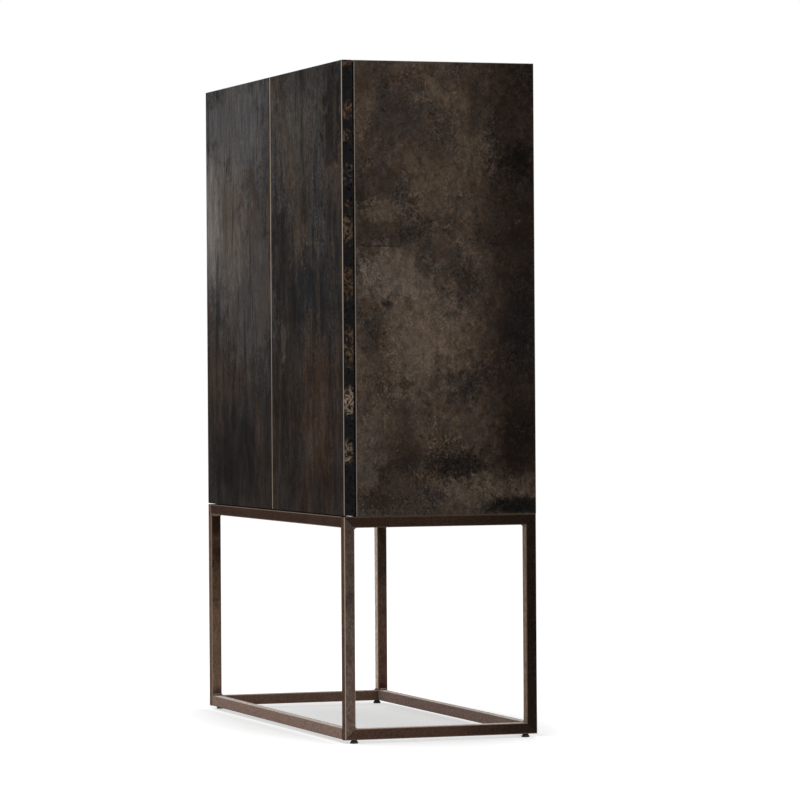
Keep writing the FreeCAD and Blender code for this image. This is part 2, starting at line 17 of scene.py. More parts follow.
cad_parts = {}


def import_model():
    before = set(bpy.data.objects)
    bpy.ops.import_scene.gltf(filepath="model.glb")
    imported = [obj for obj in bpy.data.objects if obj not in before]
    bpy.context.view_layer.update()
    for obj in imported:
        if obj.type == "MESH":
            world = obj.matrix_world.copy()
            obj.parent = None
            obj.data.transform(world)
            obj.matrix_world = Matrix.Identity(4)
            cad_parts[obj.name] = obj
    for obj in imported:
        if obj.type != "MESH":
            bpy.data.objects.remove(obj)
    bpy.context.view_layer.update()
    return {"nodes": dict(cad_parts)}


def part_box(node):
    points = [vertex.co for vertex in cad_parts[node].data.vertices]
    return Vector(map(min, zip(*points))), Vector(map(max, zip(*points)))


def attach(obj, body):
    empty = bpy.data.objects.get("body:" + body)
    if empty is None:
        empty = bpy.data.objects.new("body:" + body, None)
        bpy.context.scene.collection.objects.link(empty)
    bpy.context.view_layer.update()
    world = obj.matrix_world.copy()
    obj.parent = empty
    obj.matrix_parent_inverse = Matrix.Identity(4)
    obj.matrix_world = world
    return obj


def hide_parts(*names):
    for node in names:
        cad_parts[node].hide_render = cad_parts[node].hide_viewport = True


LOG = logging.getLogger("bar_cabinet")

Socket = bpy.types.NodeSocket
Colour = tuple[float, float, float, float]
Look = tuple[Socket, Socket]
Corner = tuple[Vector, Vector, Vector, Vector]

WHITE: Colour = (1.0, 1.0, 1.0, 1.0)
WARM_SHINE: Colour = (1.0, 0.82, 0.7, 1.0)
COOL_LEAN: Colour = (0.97, 1.0, 1.03, 1.0)
WARM_LEAN: Colour = (1.05, 1.0, 0.93, 1.0)
PORE: Colour = (0.004, 0.003, 0.002, 1.0)
# How far a face looks along an axis: flat, turning from the axis, and tilted like a bevel
FLAT = 0.9
TURNS, TURNED = 0.8, 0.95
TILTED = 0.3
# Decimal places of a length in metres
MICRONS = 6


class Effect(Enum):
    """The effects that finishes share, each one a node group."""

    CLOUDS = "patina_clouds"
    PITTING = "fine_pitting"
    STREAKS = "drawn_streaks"
    ARRIS = "worn_arris"
    GRAIN = "stained_grain"
    GLOSS = "handled_gloss"
    MARK = "soft_mark"


class Kind(Enum):
    """What a socket of a node group carries."""

    NUMBER = "NodeSocketFloat"
    VECTOR = "NodeSocketVector"
    COLOUR = "NodeSocketColor"


class Grain(Enum):
    """The way that the grain of a board runs."""

    ACROSS = "x"
    INWARD = "y"
    UPRIGHT = "z"


class Named(Enum):
    """A choice whose name is part of the nodes' names."""

    @property
    def word(self) -> str:
        """The choice's name as the nodes carry it."""
        return self.name.lower()


class Side(Named):
    """The two sides of the cabinet, with the sign of X on each."""

    LEFT = -1
    RIGHT = 1


class Row(Named):
    """The front and the rear of the stand, with the sign of Y on each."""

    FRONT = -1
    REAR = 1


@dataclass(frozen=True)
class Tone:
    """A colour as it should look, each part out of 255."""

    red: float
    green: float
    blue: float

    @property
    def linear(self) -> Colour:
        """The colour as a shader socket takes it."""
        parts = [part / 255 for part in (self.red, self.green, self.blue)]
        even = [p / 12.92 if p <= 0.04045 else ((p + 0.055) / 1.055) ** 2.4 for p in parts]
        return (even[0], even[1], even[2], 1.0)


Feed = Socket | float | Sequence[float] | Tone


class Bench:
    """A node tree with short calls for the nodes that the finishes are made of."""

    def __init__(self, tree: bpy.types.NodeTree) -> None:
        """Keep the tree that the nodes go into."""
        self.tree = tree

    def add(self, kind: str, **settings: object) -> bpy.types.Node:
        """Add a node.

        Args:
            kind: Blender's name of the node's type.
            **settings: Properties of the node to set.

        Returns:
            The new node.
        """
        node = self.tree.nodes.new(kind)
        for name, value in settings.items():
            setattr(node, name, value)
        return node

    def feed(self, socket: Socket, value: Feed) -> None:
        """Link a socket to an input, or set the input's own value.

        Args:
            socket: The input to feed.
            value: Another node's output, a tone or a plain value.
        """
        if isinstance(value, bpy.types.NodeSocket):
            self.tree.links.new(value, socket)
        else:
            socket.default_value = value.linear if isinstance(value, Tone) else value

    def read(self, node: bpy.types.Node, values: dict[int | str, Feed], result: int | str = 0) -> Socket:
        """Feed a node and read one of its outputs.

        Args:
            node: The node.
            values: What feeds its inputs, by their number or name.
            result: The output's number or name.

        Returns:
            The output.
        """
        for key, value in values.items():
            self.feed(node.inputs[key], value)
        return node.outputs[result]

    def sums(self, operation: str, *values: Feed, clamp: bool = False) -> Socket:
        """Work on numbers."""
        node = self.add("ShaderNodeMath", operation=operation, use_clamp=clamp)
        return self.read(node, dict(enumerate(values)))

    def times(self, first: Feed, *others: Feed) -> Socket:
        """Multiply numbers.

        Args:
            first: The first number.
            *others: The numbers that it is multiplied by.

        Returns:
            The product.
        """
        for other in others:
            first = self.sums("MULTIPLY", first, other)
        return first

    def plus(self, one: Feed, two: Feed) -> Socket:
        """Add two numbers."""
        return self.sums("ADD", one, two)

    def minus(self, one: Feed, two: Feed) -> Socket:
        """Take one number from another."""
        return self.sums("SUBTRACT", one, two)

    def unsigned(self, value: Feed) -> Socket:
        """Drop the sign of a number."""
        return self.sums("ABSOLUTE", value)

    def over(self, value: Feed, limit: float) -> Socket:
        """Tell whether a number is above a limit."""
        return self.sums("GREATER_THAN", value, limit)

    def under(self, value: Feed, limit: float) -> Socket:
        """Tell whether a number is below a limit."""
        return self.sums("LESS_THAN", value, limit)

    def vectors(self, operation: str, one: Socket, two: Feed) -> Socket:
        """Work on two vectors."""
        return self.read(self.add("ShaderNodeVectorMath", operation=operation), {0: one, 1: two})

    def scaled(self, place: Socket, by: Feed) -> Socket:
        """Multiply a place by one factor for each axis."""
        return self.vectors("MULTIPLY", place, by)

    def shifted(self, place: Socket, by: Feed) -> Socket:
        """Move a place, so that the same pattern isn't read twice."""
        return self.vectors("ADD", place, by)

    def length(self, vector: Socket) -> Socket:
        """Measure a vector."""
        return self.read(self.add("ShaderNodeVectorMath", operation="LENGTH"), {0: vector}, "Value")

    def parts(self, vector: Socket) -> tuple[Socket, Socket, Socket]:
        """Split a vector.

        Args:
            vector: The vector.

        Returns:
            Its X, Y and Z.
        """
        node = self.add("ShaderNodeSeparateXYZ")
        self.feed(node.inputs[0], vector)
        return node.outputs[0], node.outputs[1], node.outputs[2]

    def joined(self, x: Feed, y: Feed, z: Feed) -> Socket:
        """Make a vector of three numbers."""
        return self.read(self.add("ShaderNodeCombineXYZ"), {0: x, 1: y, 2: z})

    def noise(self, place: Socket, scale: Feed, detail: float, roughness: float, bend: float = 0.0) -> Socket:
        """Read a noise between zero and one."""
        return self.read(self.add("ShaderNodeTexNoise"), {"Vector": place, "Scale": scale, "Detail": detail,
                                                          "Roughness": roughness, "Distortion": bend})

    def step(self, value: Socket, low: Feed, high: Feed, start: Feed = 0.0, end: Feed = 1.0) -> Socket:
        """Go smoothly from one number to another while a value rises or falls."""
        node = self.add("ShaderNodeMapRange", interpolation_type="SMOOTHSTEP")
        return self.read(node, dict(enumerate((value, low, high, start, end))))

    def blend(self, share: Feed, under: Feed, over: Feed, mode: str = "MIX") -> Socket:
        """Lay one colour over another."""
        node = self.add("ShaderNodeMix", data_type="RGBA", blend_type=mode)
        return self.read(node, {0: share, 6: under, 7: over}, 2)

    def shaded(self, colour: Feed, tint: Socket) -> Socket:
        """Multiply a colour by a tint that lies around one."""
        return self.blend(1.0, colour, tint, "MULTIPLY")

    def between(self, share: Feed, under: Feed, over: Feed) -> Socket:
        """Go from one number to another."""
        return self.read(self.add("ShaderNodeMix", data_type="FLOAT"), {0: share, 2: under, 3: over})

    def effect(self, which: Effect, **values: Feed) -> dict[str, Socket]:
        """Place a shared effect.

        Args:
            which: The effect.
            **values: Its inputs by name, in small letters.

        Returns:
            Its outputs by name.
        """
        node = self.add("ShaderNodeGroup", node_tree=effect_group(which))
        for name, value in values.items():
            self.feed(node.inputs[name.title()], value)
        return {socket.name: socket for socket in node.outputs}


class SurfaceBench(Bench):
    """A material's nodes, with the place on the piece in metres and the way its surface faces."""

    def __init__(self, tree: bpy.types.NodeTree) -> None:
        """Start the material anew.

        Args:
            tree: The material's node tree.
        """
        super().__init__(tree)
        tree.nodes.clear()
        self.shader = self.add("ShaderNodeBsdfPrincipled")
        self.feed(self.add("ShaderNodeOutputMaterial").inputs["Surface"], self.shader.outputs["BSDF"])
        coordinates = self.add("ShaderNodeTexCoord")
        self.place = coordinates.outputs["Object"]
        self.facing = coordinates.outputs["Normal"]


class GroupBench(Bench):
    """A bench for a node group with named inputs and outputs."""

    def __init__(self, name: str) -> None:
        """Start an empty group.

        Args:
            name: The group's name.
        """
        super().__init__(bpy.data.node_groups.new(name, "ShaderNodeTree"))
        self.entry = self.add("NodeGroupInput")
        self.exit = self.add("NodeGroupOutput")

    def takes(self, kind: Kind, *names: str) -> list[Socket]:
        """Give the group inputs of one kind.

        Args:
            kind: What they carry.
            *names: Their names.

        Returns:
            The inputs as the group's nodes read them.
        """
        for name in names:
            self.tree.interface.new_socket(name=name, in_out="INPUT", socket_type=kind.value)
        return [self.entry.outputs[name] for name in names]

    def gives(self, kind: Kind, **results: Socket) -> None:
        """Put results of one kind out of the group.

        Args:
            kind: What they carry.
            **results: What feeds each output, by its name.
        """
        for name, value in results.items():
            self.tree.interface.new_socket(name=name, in_out="OUTPUT", socket_type=kind.value)
            self.feed(self.exit.inputs[name], value)


def draw_clouds(bench: GroupBench) -> None:
    """Draw the cloudy patina: two tones drifting over a ground, broken up like sponged stain.

    Args:
        bench: The empty group.
    """
    place, = bench.takes(Kind.VECTOR, "Place")
    size, upright, ragged = bench.takes(Kind.NUMBER, "Clouds", "Upright", "Ragged")
    ground, cloud, cool, shade = bench.takes(Kind.COLOUR, "Ground", "Cloud", "Cool", "Shade")
    place = bench.scaled(place, bench.joined(1.0, 1.0, upright))
    sponge = bench.noise(place, bench.times(size, 11.0), 6.0, 0.7, 0.6)
    grit = bench.noise(bench.shifted(place, (1.3, 4.9, 8.6)), bench.times(size, 50.0), 3.0, 0.7)
    broken = bench.times(bench.minus(sponge, 0.5), ragged)
    drift = bench.noise(place, size, 5.0, 0.6, 0.4)
    cool_drift = bench.noise(bench.shifted(place, (3.1, 7.7, 1.9)), bench.times(size, 1.7), 5.0, 0.6, 0.5)
    shade_drift = bench.noise(bench.shifted(place, (9.2, 2.3, 5.4)), bench.times(size, 1.3), 6.0, 0.62, 0.7)
    cool_spread = bench.plus(cool_drift, broken)
    cloud_mask = bench.step(bench.plus(drift, broken), 0.42, 0.64)
    shade_mask = bench.step(bench.plus(shade_drift, broken), 0.52, 0.70)
    crazed = bench.step(cool_spread, 0.46, 0.62)
    crease = bench.noise(bench.shifted(place, (2.7, 6.1, 4.4)), bench.times(size, 9.0), 4.0, 0.6, 1.6)
    crease = bench.step(bench.unsigned(bench.minus(crease, 0.5)), 0.06, 0.015)
    colour = bench.blend(bench.times(bench.step(cool_spread, 0.42, 0.62), 0.75), ground, cool)
    colour = bench.blend(bench.times(cloud_mask, 0.85), colour, cloud)
    colour = bench.blend(bench.times(shade_mask, 0.8), colour, shade)
    colour = bench.blend(bench.times(crease, crazed, 0.65), colour, shade)
    swing = bench.times(bench.minus(grit, 0.5), bench.between(crazed, 1.3, 3.6))
    tint = bench.times(bench.step(sponge, 0.3, 0.7, 0.66, 1.34), bench.plus(swing, 1.0))
    hue = bench.noise(bench.shifted(place, (6.6, 0.8, 3.5)), bench.times(size, 8.0), 5.0, 0.68, 0.6)
    leaning = bench.blend(bench.step(hue, 0.36, 0.64), COOL_LEAN, WARM_LEAN)
    bench.gives(Kind.COLOUR, Colour=colour, Tint=bench.shaded(leaning, bench.joined(tint, tint, tint)))
    relief = bench.plus(bench.times(cloud_mask, 0.3), sponge)
    bench.gives(Kind.NUMBER, Drift=bench.minus(drift, 0.5), Relief=relief)


def draw_pitting(bench: GroupBench) -> None:
    """Draw clustered dark pits and pale flecks.

    Args:
        bench: The empty group.
    """
    place, = bench.takes(Kind.VECTOR, "Place")
    scale, share = bench.takes(Kind.NUMBER, "Scale", "Share")
    low = bench.minus(0.74, bench.times(share, 0.22))
    high = bench.plus(low, 0.06)
    spots = {}
    for name, offset in (("Pits", (0.0, 0.0, 0.0)), ("Flecks", (4.3, 1.7, 8.8))):
        spread = bench.shifted(place, offset)
        cluster = bench.step(bench.noise(spread, bench.times(scale, 0.08), 4.0, 0.65), 0.46, 0.60)
        grains = bench.step(bench.noise(spread, scale, 3.0, 0.7, 0.6), low, high)
        spots[name] = bench.times(grains, cluster)
    bench.gives(Kind.NUMBER, Relief=bench.minus(spots["Flecks"], spots["Pits"]), **spots)


def draw_streaks(bench: GroupBench) -> None:
    """Draw long upright streaks with a finer hair between them.

    Args:
        bench: The empty group.
    """
    place, = bench.takes(Kind.VECTOR, "Place")
    across, along = bench.takes(Kind.NUMBER, "Across", "Along")
    stretched = bench.scaled(place, bench.joined(across, across, along))
    hair = bench.noise(bench.shifted(stretched, (5.0, 3.0, 1.0)), 5.0, 3.0, 0.6)
    bench.gives(Kind.NUMBER, Broad=bench.noise(stretched, 1.0, 4.0, 0.55, 0.3), Hair=hair)


def draw_arris(bench: GroupBench) -> None:
    """Draw the rubbed edge: the chamfers and roundings that face none of the three axes.

    Args:
        bench: The empty group.
    """
    facing, place = bench.takes(Kind.VECTOR, "Facing", "Place")
    lost, = bench.takes(Kind.NUMBER, "Lost")
    x, y, z = (bench.unsigned(part) for part in bench.parts(facing))
    turned = bench.step(bench.sums("MAXIMUM", bench.sums("MAXIMUM", x, y), z), 0.985, 0.88)
    broken = bench.noise(place, 70.0, 4.0, 0.65)
    kept = bench.step(broken, bench.minus(lost, 0.08), bench.plus(lost, 0.12), 0.25, 1.0)
    bench.gives(Kind.NUMBER, Wear=bench.times(turned, kept))


def draw_grain(bench: GroupBench) -> None:
    """Draw stained open-pored wood with its grain along Z.

    Args:
        bench: The empty group.
    """
    place, = bench.takes(Kind.VECTOR, "Place")
    early, late = bench.takes(Kind.COLOUR, "Early", "Late")
    bands = bench.noise(bench.scaled(place, (26.0, 26.0, 1.1)), 1.0, 5.0, 0.6, 0.6)
    lines = bench.noise(bench.scaled(place, (170.0, 170.0, 4.0)), 1.0, 3.0, 0.6, 0.2)
    pores = bench.noise(bench.scaled(place, (900.0, 900.0, 22.0)), 1.0, 1.0, 0.5)
    pore = bench.step(pores, 0.60, 0.70)
    dark = bench.sums("ADD", bench.times(bench.step(bands, 0.35, 0.65), 0.65),
                      bench.times(bench.step(lines, 0.40, 0.66), 0.45), clamp=True)
    colour = bench.blend(bench.times(pore, 0.6), bench.blend(dark, early, late), PORE)
    bench.gives(Kind.COLOUR, Colour=colour)
    bench.gives(Kind.NUMBER, Relief=bench.minus(bench.times(lines, 0.4), pore))


def draw_gloss(bench: GroupBench) -> None:
    """Draw the uneven shine of a handled surface.

    Args:
        bench: The empty group.
    """
    place, = bench.takes(Kind.VECTOR, "Place")
    smooth, rough = bench.takes(Kind.NUMBER, "Smooth", "Rough")
    smear = bench.noise(place, 9.0, 5.0, 0.6, 0.8)
    fine = bench.noise(place, 240.0, 3.0, 0.6)
    mixed = bench.plus(bench.times(smear, 0.7), bench.times(fine, 0.3))
    bench.gives(Kind.NUMBER, Roughness=bench.step(mixed, 0.36, 0.64, smooth, rough))


def draw_mark(bench: GroupBench) -> None:
    """Draw one ragged spot.

    Args:
        bench: The empty group.
    """
    place, middle, reach = bench.takes(Kind.VECTOR, "Place", "Middle", "Reach")
    ragged, tear = bench.takes(Kind.NUMBER, "Ragged", "Tear")
    far = bench.length(bench.vectors("DIVIDE", bench.vectors("SUBTRACT", place, middle), reach))
    torn = bench.minus(bench.noise(place, tear, 6.0, 0.72, 0.5), 0.5)
    distance = bench.plus(far, bench.times(torn, bench.times(ragged, 3.0)))
    bench.gives(Kind.NUMBER, Mask=bench.step(distance, 1.0, 0.45))


DRAWERS: dict[Effect, Callable[[GroupBench], None]] = {
    Effect.CLOUDS: draw_clouds,
    Effect.PITTING: draw_pitting,
    Effect.STREAKS: draw_streaks,
    Effect.ARRIS: draw_arris,
    Effect.GRAIN: draw_grain,
    Effect.GLOSS: draw_gloss,
    Effect.MARK: draw_mark,
}


def effect_group(which: Effect) -> bpy.types.NodeTree:
    """Find a shared effect, and build it the first time.

    Args:
        which: The effect.

    Returns:
        Its node group.
    """
    found = bpy.data.node_groups.get(which.value)
    if found is None:
        bench = GroupBench(which.value)
        DRAWERS[which](bench)
        found = bench.tree
    return found


@dataclass(frozen=True)
class Mark:
    """A ragged spot on a panel, by its middle and its reach along each axis in metres."""

    middle: tuple[float, float, float]
    reach: tuple[float, float, float]
    tone: Tone
    strength: float
    ragged: float
    tear: float


@dataclass(frozen=True)
class Finish:
    """A finish that a material is made of.

    Its roughness lies between smooth and rough. The relief's depth is in metres.
    The higher lost is, the less of the edges is rubbed.
    """

    name: str
    smooth: float = 0.5
    rough: float = 0.7
    lost: float = 0.3
    shine: float = 0.3
    shine_tint: Colour = WHITE
    metallic: float = 0.0
    depth: float = 0.0003
    strength: float = 0.4

    def look(self, bench: SurfaceBench) -> Look:
        """Draw the finish."""
        raise NotImplementedError

    def wear(self, bench: SurfaceBench) -> Socket:
        """Tell how far the edges are rubbed."""
        return bench.effect(Effect.ARRIS, facing=bench.facing, place=bench.place, lost=self.lost)["Wear"]

    def material(self) -> bpy.types.Material:
        """Find the finish's material, and build it the first time.

        Returns:
            The material.
        """
        found = bpy.data.materials.get(self.name)
        if found is None:
            found = bpy.data.materials.new(self.name)
            found.use_nodes = True
            bench = SurfaceBench(found.node_tree)
            colour, relief = self.look(bench)
            gloss = bench.effect(Effect.GLOSS, place=bench.place, smooth=self.smooth, rough=self.rough)
            raised = {"Strength": self.strength, "Distance": self.depth, "Height": relief}
            normal = bench.read(bench.add("ShaderNodeBump"), raised, "Normal")
            bench.read(bench.shader, {"Base Color": colour, "Roughness": gloss["Roughness"],
                                      "Metallic": self.metallic, "Specular IOR Level": self.shine,
                                      "Specular Tint": self.shine_tint, "Normal": normal})
        return found

    def dress(self, *nodes: str) -> None:
        """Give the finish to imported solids."""
        for name in nodes:
            self.cover(FRAME_NODES[name])

    def cover(self, piece: bpy.types.Object) -> None:
        """Give the finish to one object.

        Args:
            piece: The object, with or without material slots.
        """
        if not piece.material_slots:
            piece.data.materials.append(self.material())
        for slot in piece.material_slots:
            slot.material = self.material()
        LOG.info("%s: %s", piece.name, self.name)


FRAME_NODES: dict[str, bpy.types.Object] = {}


@dataclass(frozen=True)
class StainedWood(Finish):
    """Dark stained open-pored wood."""

    smooth: float = 0.42
    rough: float = 0.62
    lost: float = 0.45
    depth: float = 0.0004
    strength: float = 0.5
    grain: Grain = Grain.UPRIGHT
    early: Tone = Tone(62, 46, 36)
    late: Tone = Tone(36, 26, 21)
    rubbed: Tone = Tone(96, 76, 60)

    def bare(self, bench: SurfaceBench) -> Look:
        """Draw the wood without its rubbed edges.

        Args:
            bench: The material's nodes.

        Returns:
            The colour and the relief.
        """
        along = bench.place
        x, y, z = bench.parts(along)
        if self.grain is Grain.ACROSS:
            along = bench.joined(z, y, x)
        if self.grain is Grain.INWARD:
            along = bench.joined(x, z, y)
        wood = bench.effect(Effect.GRAIN, place=along, early=self.early, late=self.late)
        return wood["Colour"], wood["Relief"]

    def look(self, bench: SurfaceBench) -> Look:
        """Draw the wood."""
        colour, relief = self.bare(bench)
        return bench.blend(self.wear(bench), colour, self.rubbed), relief


@dataclass(frozen=True, kw_only=True)
class Patina(Finish):
    """The dark metal patina of the panels, with stained wood on the faces inside the case."""

    smooth: float = 0.6
    rough: float = 0.82
    shine: float = 0.03
    depth: float = 0.0006
    strength: float = 0.45
    pit: Tone = Tone(20, 17, 15)
    rubbed: Tone = Tone(146, 136, 124)
    front: float
    bevel: float = 0.002
    bevel_edge: float = 0.44
    bevel_core: float = 0.26
    kept_below: float = 0.2
    kept_above: float = 0.65
    lining: StainedWood = StainedWood("lining")
    marks: tuple[Mark, ...] = ()

    def inner_share(self, bench: SurfaceBench) -> Socket:
        """Tell the faces inside the case from those outside."""
        raise NotImplementedError

    def outer_look(self, bench: SurfaceBench) -> Look:
        """Draw the faces outside."""
        raise NotImplementedError

    def worn_share(self, bench: SurfaceBench) -> Socket:
        """Tell how far each edge is rubbed.

        Args:
            bench: The material's nodes.

        Returns:
            The share of the rubbed tone.
        """
        _, front, up = bench.parts(bench.facing)
        kept = bench.step(up, -TILTED, -0.1, self.kept_below, self.kept_above)
        kept = bench.between(bench.under(front, -TILTED), kept, self.middle_share(bench))
        return bench.times(self.wear(bench), kept)

    def middle_share(self, bench: SurfaceBench) -> Socket:
        """Take the middle of the bevel along the front edge."""
        inward = bench.minus(bench.parts(bench.place)[1], self.front + self.bevel / 2)
        return bench.step(bench.unsigned(inward), self.bevel_edge * self.bevel, self.bevel_core * self.bevel)

    def look(self, bench: SurfaceBench) -> Look:
        """Draw the patina outside and the wood inside.

        Args:
            bench: The material's nodes.

        Returns:
            The colour and the relief.
        """
        colour, relief = self.outer_look(bench)
        colour = bench.blend(self.worn_share(bench), colour, self.rubbed)
        wood, grain = self.lining.bare(bench)
        inner = self.inner_share(bench)
        return bench.blend(inner, colour, wood), bench.between(inner, relief, grain)

    def marked(self, bench: SurfaceBench, colour: Socket, marks: Iterable[Mark], curl: Feed = 1.0) -> Socket:
        """Lay spots over a colour.

        Args:
            bench: The material's nodes.
            colour: The colour under the spots.
            marks: The spots.
            curl: How much of each spot shows at a place.

        Returns:
            The colour with its spots.
        """
        for mark in marks:
            spot = bench.effect(Effect.MARK, place=bench.place, middle=mark.middle, reach=mark.reach,
                                ragged=mark.ragged, tear=mark.tear)
            share = bench.times(spot["Mask"], mark.strength, curl)
            colour = bench.blend(share, colour, mark.tone)
        return colour


@dataclass(frozen=True, kw_only=True)
class MottledPatina(Patina):
    """The mottled patina of the sides, the top and the bottom, with painted shade that darkens it towards the
    back.
    """

    ground: Tone = Tone(66, 55, 47)
    cloud: Tone = Tone(84, 71, 60)
    cool: Tone = Tone(60, 54, 51)
    shade: Tone = Tone(30, 25, 22)
    # The back tone is painted shade: the colour the panel takes towards the back, where less light falls
    back: Tone = Tone(27, 20, 17)
    fleck: Tone = Tone(112, 95, 78)
    inner_x: float
    inner_low: float
    inner_high: float
    # The share and the reach of the painted shade towards the back of the panel
    back_shade: float = 0.8
    dark_from: float = 0.05
    dark_to: float = 0.17
    dark_wander: float = 0.16
    dark_low: float = 0.55
    dark_high: float = 0.62

    def inner_share(self, bench: SurfaceBench) -> Socket:
        """Take the faces that look into the case.

        Args:
            bench: The material's nodes.

        Returns:
            One on the faces inside the case, and zero elsewhere.
        """
        x, _, z = bench.parts(bench.place)
        in_height = bench.times(bench.over(z, self.inner_low), bench.under(z, self.inner_high))
        return bench.times(bench.under(bench.unsigned(x), self.inner_x), in_height)

    def outer_look(self, bench: SurfaceBench) -> Look:
        """Draw clouds, spots, streaks and pits, and painted shade towards the back.

        Args:
            bench: The material's nodes.

        Returns:
            The colour and the relief.
        """
        place = bench.place
        clouds = bench.effect(Effect.CLOUDS, place=place, clouds=5.0, upright=0.85, ragged=0.6,
                              ground=self.ground, cloud=self.cloud,
                              cool=self.cool, shade=self.shade)
        streaks = bench.effect(Effect.STREAKS, place=place, across=60.0, along=16.0)
        pits = bench.effect(Effect.PITTING, place=place, scale=190.0, share=0.6)
        moved = bench.shifted(place, (0.7, 2.9, 1.1))
        blots = bench.effect(Effect.PITTING, place=moved, scale=85.0, share=0.55)
        _, y, z = bench.parts(place)
        # Painted shade: the face darkens towards the back, where less light falls, and this fades out low on
        # the panel
        inward = bench.plus(y, bench.times(clouds["Drift"], self.dark_wander))
        dark = bench.times(bench.step(inward, self.dark_from, self.dark_to), self.back_shade)
        dark = bench.times(dark, bench.step(z, self.dark_low, self.dark_high))
        colour = bench.blend(dark, clouds["Colour"], self.back)
        colour = self.marked(bench, colour, self.marks)
        dim = bench.times(bench.step(streaks["Broad"], 0.52, 0.68), 0.2)
        colour = bench.blend(dim, colour, self.shade)
        for spots, pale, pale_behind, deep in ((pits, 0.35, 0.0, 0.75), (blots, 0.4, 0.15, 0.6)):
            flecks = bench.times(spots["Flecks"], bench.between(dark, pale, pale_behind))
            colour = bench.blend(flecks, colour, self.fleck)
            colour = bench.blend(bench.times(spots["Pits"], deep), colour, self.pit)
        colour = bench.shaded(colour, clouds["Tint"])
        return colour, bench.plus(clouds["Relief"], pits["Relief"])


@dataclass(frozen=True, kw_only=True)
class StreakedPatina(Patina):
    """The streaked patina of a door, with burl figures in its black outer edge."""

    lost: float = 0.15
    shine: float = 0.012
    high: Tone = Tone(58, 55, 54)
    low: Tone = Tone(31, 23, 18)
    sheen: Tone = Tone(76, 76, 77)
    brown: Tone = Tone(70, 57, 48)
    black: Tone = Tone(20, 20, 22)
    edge: Tone = Tone(27, 27, 29)
    rubbed: Tone = Tone(178, 160, 142)
    broken: float
    # These fields place a painted reflection: the front stays paler high up and falls to the darker low tone
    # further down
    fades_from: float
    fade: float = 0.55
    fade_wander: float = 0.4
    fade_share: float = 0.7
    pale_from: float = 0.75
    pale_to: float = 1.1
    pale_low: float = 0.72
    figures: tuple[Mark, ...]

    def inner_share(self, bench: SurfaceBench) -> Socket:
        """Take the back of the door."""
        return bench.over(bench.parts(bench.facing)[1], FLAT)

    def worn_share(self, bench: SurfaceBench) -> Socket:
        """Rub only the upright edges of the front.

        Args:
            bench: The material's nodes.

        Returns:
            The share of the rubbed tone.
        """
        x, y, _ = bench.parts(bench.facing)
        upright = bench.over(bench.unsigned(x), TILTED)
        front = bench.times(bench.under(y, -TILTED), upright, self.middle_share(bench))
        fade = bench.step(bench.parts(bench.place)[2], self.pale_from, self.pale_to, self.pale_low, 1.0)
        return bench.times(self.wear(bench), front, fade)

    def outer_look(self, bench: SurfaceBench) -> Look:
        """Draw streaks that run down the front, a painted reflection that keeps the upper front paler, and
        the black edge with its figures.

        Args:
            bench: The material's nodes.

        Returns:
            The colour and the relief.
        """
        place = bench.place
        streaks = bench.effect(Effect.STREAKS, place=place, across=26.0, along=3.5)
        broad, hair = streaks["Broad"], streaks["Hair"]
        clouds = bench.effect(Effect.CLOUDS, place=place, clouds=4.5, upright=0.7, ragged=0.8,
                              ground=self.high, cloud=self.brown,
                              cool=self.sheen, shade=self.black)
        pits = bench.effect(Effect.PITTING, place=place, scale=190.0, share=0.4)
        # Painted reflection: the paler upper front falls to the darker low tone towards the bottom
        height = bench.plus(bench.parts(place)[2], bench.times(clouds["Drift"], self.fade_wander))
        sheen_fall = bench.step(height, self.fades_from, self.fades_from - self.fade, 0.0, self.fade_share)
        colour = bench.blend(sheen_fall, clouds["Colour"], self.low)
        colour = self.marked(bench, colour, self.marks)
        colour = bench.blend(bench.times(bench.step(broad, 0.5, 0.66), 0.4), colour, self.brown)
        colour = bench.blend(bench.times(bench.step(broad, 0.49, 0.34), 0.55), colour, self.black)
        colour = bench.shaded(colour, bench.step(hair, 0.3, 0.7, 0.84, 1.16))
        colour = bench.shaded(colour, bench.blend(self.broken, WHITE, clouds["Tint"]))
        on_edge = bench.over(bench.unsigned(bench.parts(bench.facing)[0]), FLAT)
        colour = bench.blend(on_edge, colour, self.burl(bench))
        colour = bench.blend(bench.times(pits["Pits"], 0.6), colour, self.pit)
        return colour, bench.plus(bench.times(hair, 0.6), pits["Relief"])

    def burl(self, bench: SurfaceBench) -> Socket:
        """Draw the black edge with its burl figures and their dark veins.

        Args:
            bench: The material's nodes.

        Returns:
            The colour of the edge.
        """
        place = bench.place
        bloom = bench.step(bench.noise(place, 60.0, 5.0, 0.7), 0.5, 0.72, 0.0, 0.25)
        ground = bench.blend(bloom, self.edge, self.brown)
        curl = bench.step(bench.noise(place, 52.0, 4.0, 0.66, 2.2), 0.42, 0.62)
        colour = self.marked(bench, ground, self.figures, curl)
        spots = bench.step(bench.noise(place, 420.0, 3.0, 0.7), 0.35, 0.65, 0.75, 1.25)
        eyes = bench.noise(bench.shifted(place, (2.0, 5.0, 7.0)), 130.0, 2.0, 0.5)
        return bench.shaded(bench.shaded(colour, spots), bench.step(eyes, 0.60, 0.68, 1.0, 0.3))


@dataclass(frozen=True)
class StandSize:
    """The stand's sizes in metres."""

    half_width: float
    half_depth: float
    top: float
    bottom: float
    tube: float

    @classmethod
    def packed(cls) -> "StandSize":
        """Read the sizes from a packed leg, which is as wide as its tube."""
        low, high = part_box("leg_front_left")
        return cls(-low.x, -low.y, high.z, low.z, round(high.x - low.x, MICRONS))


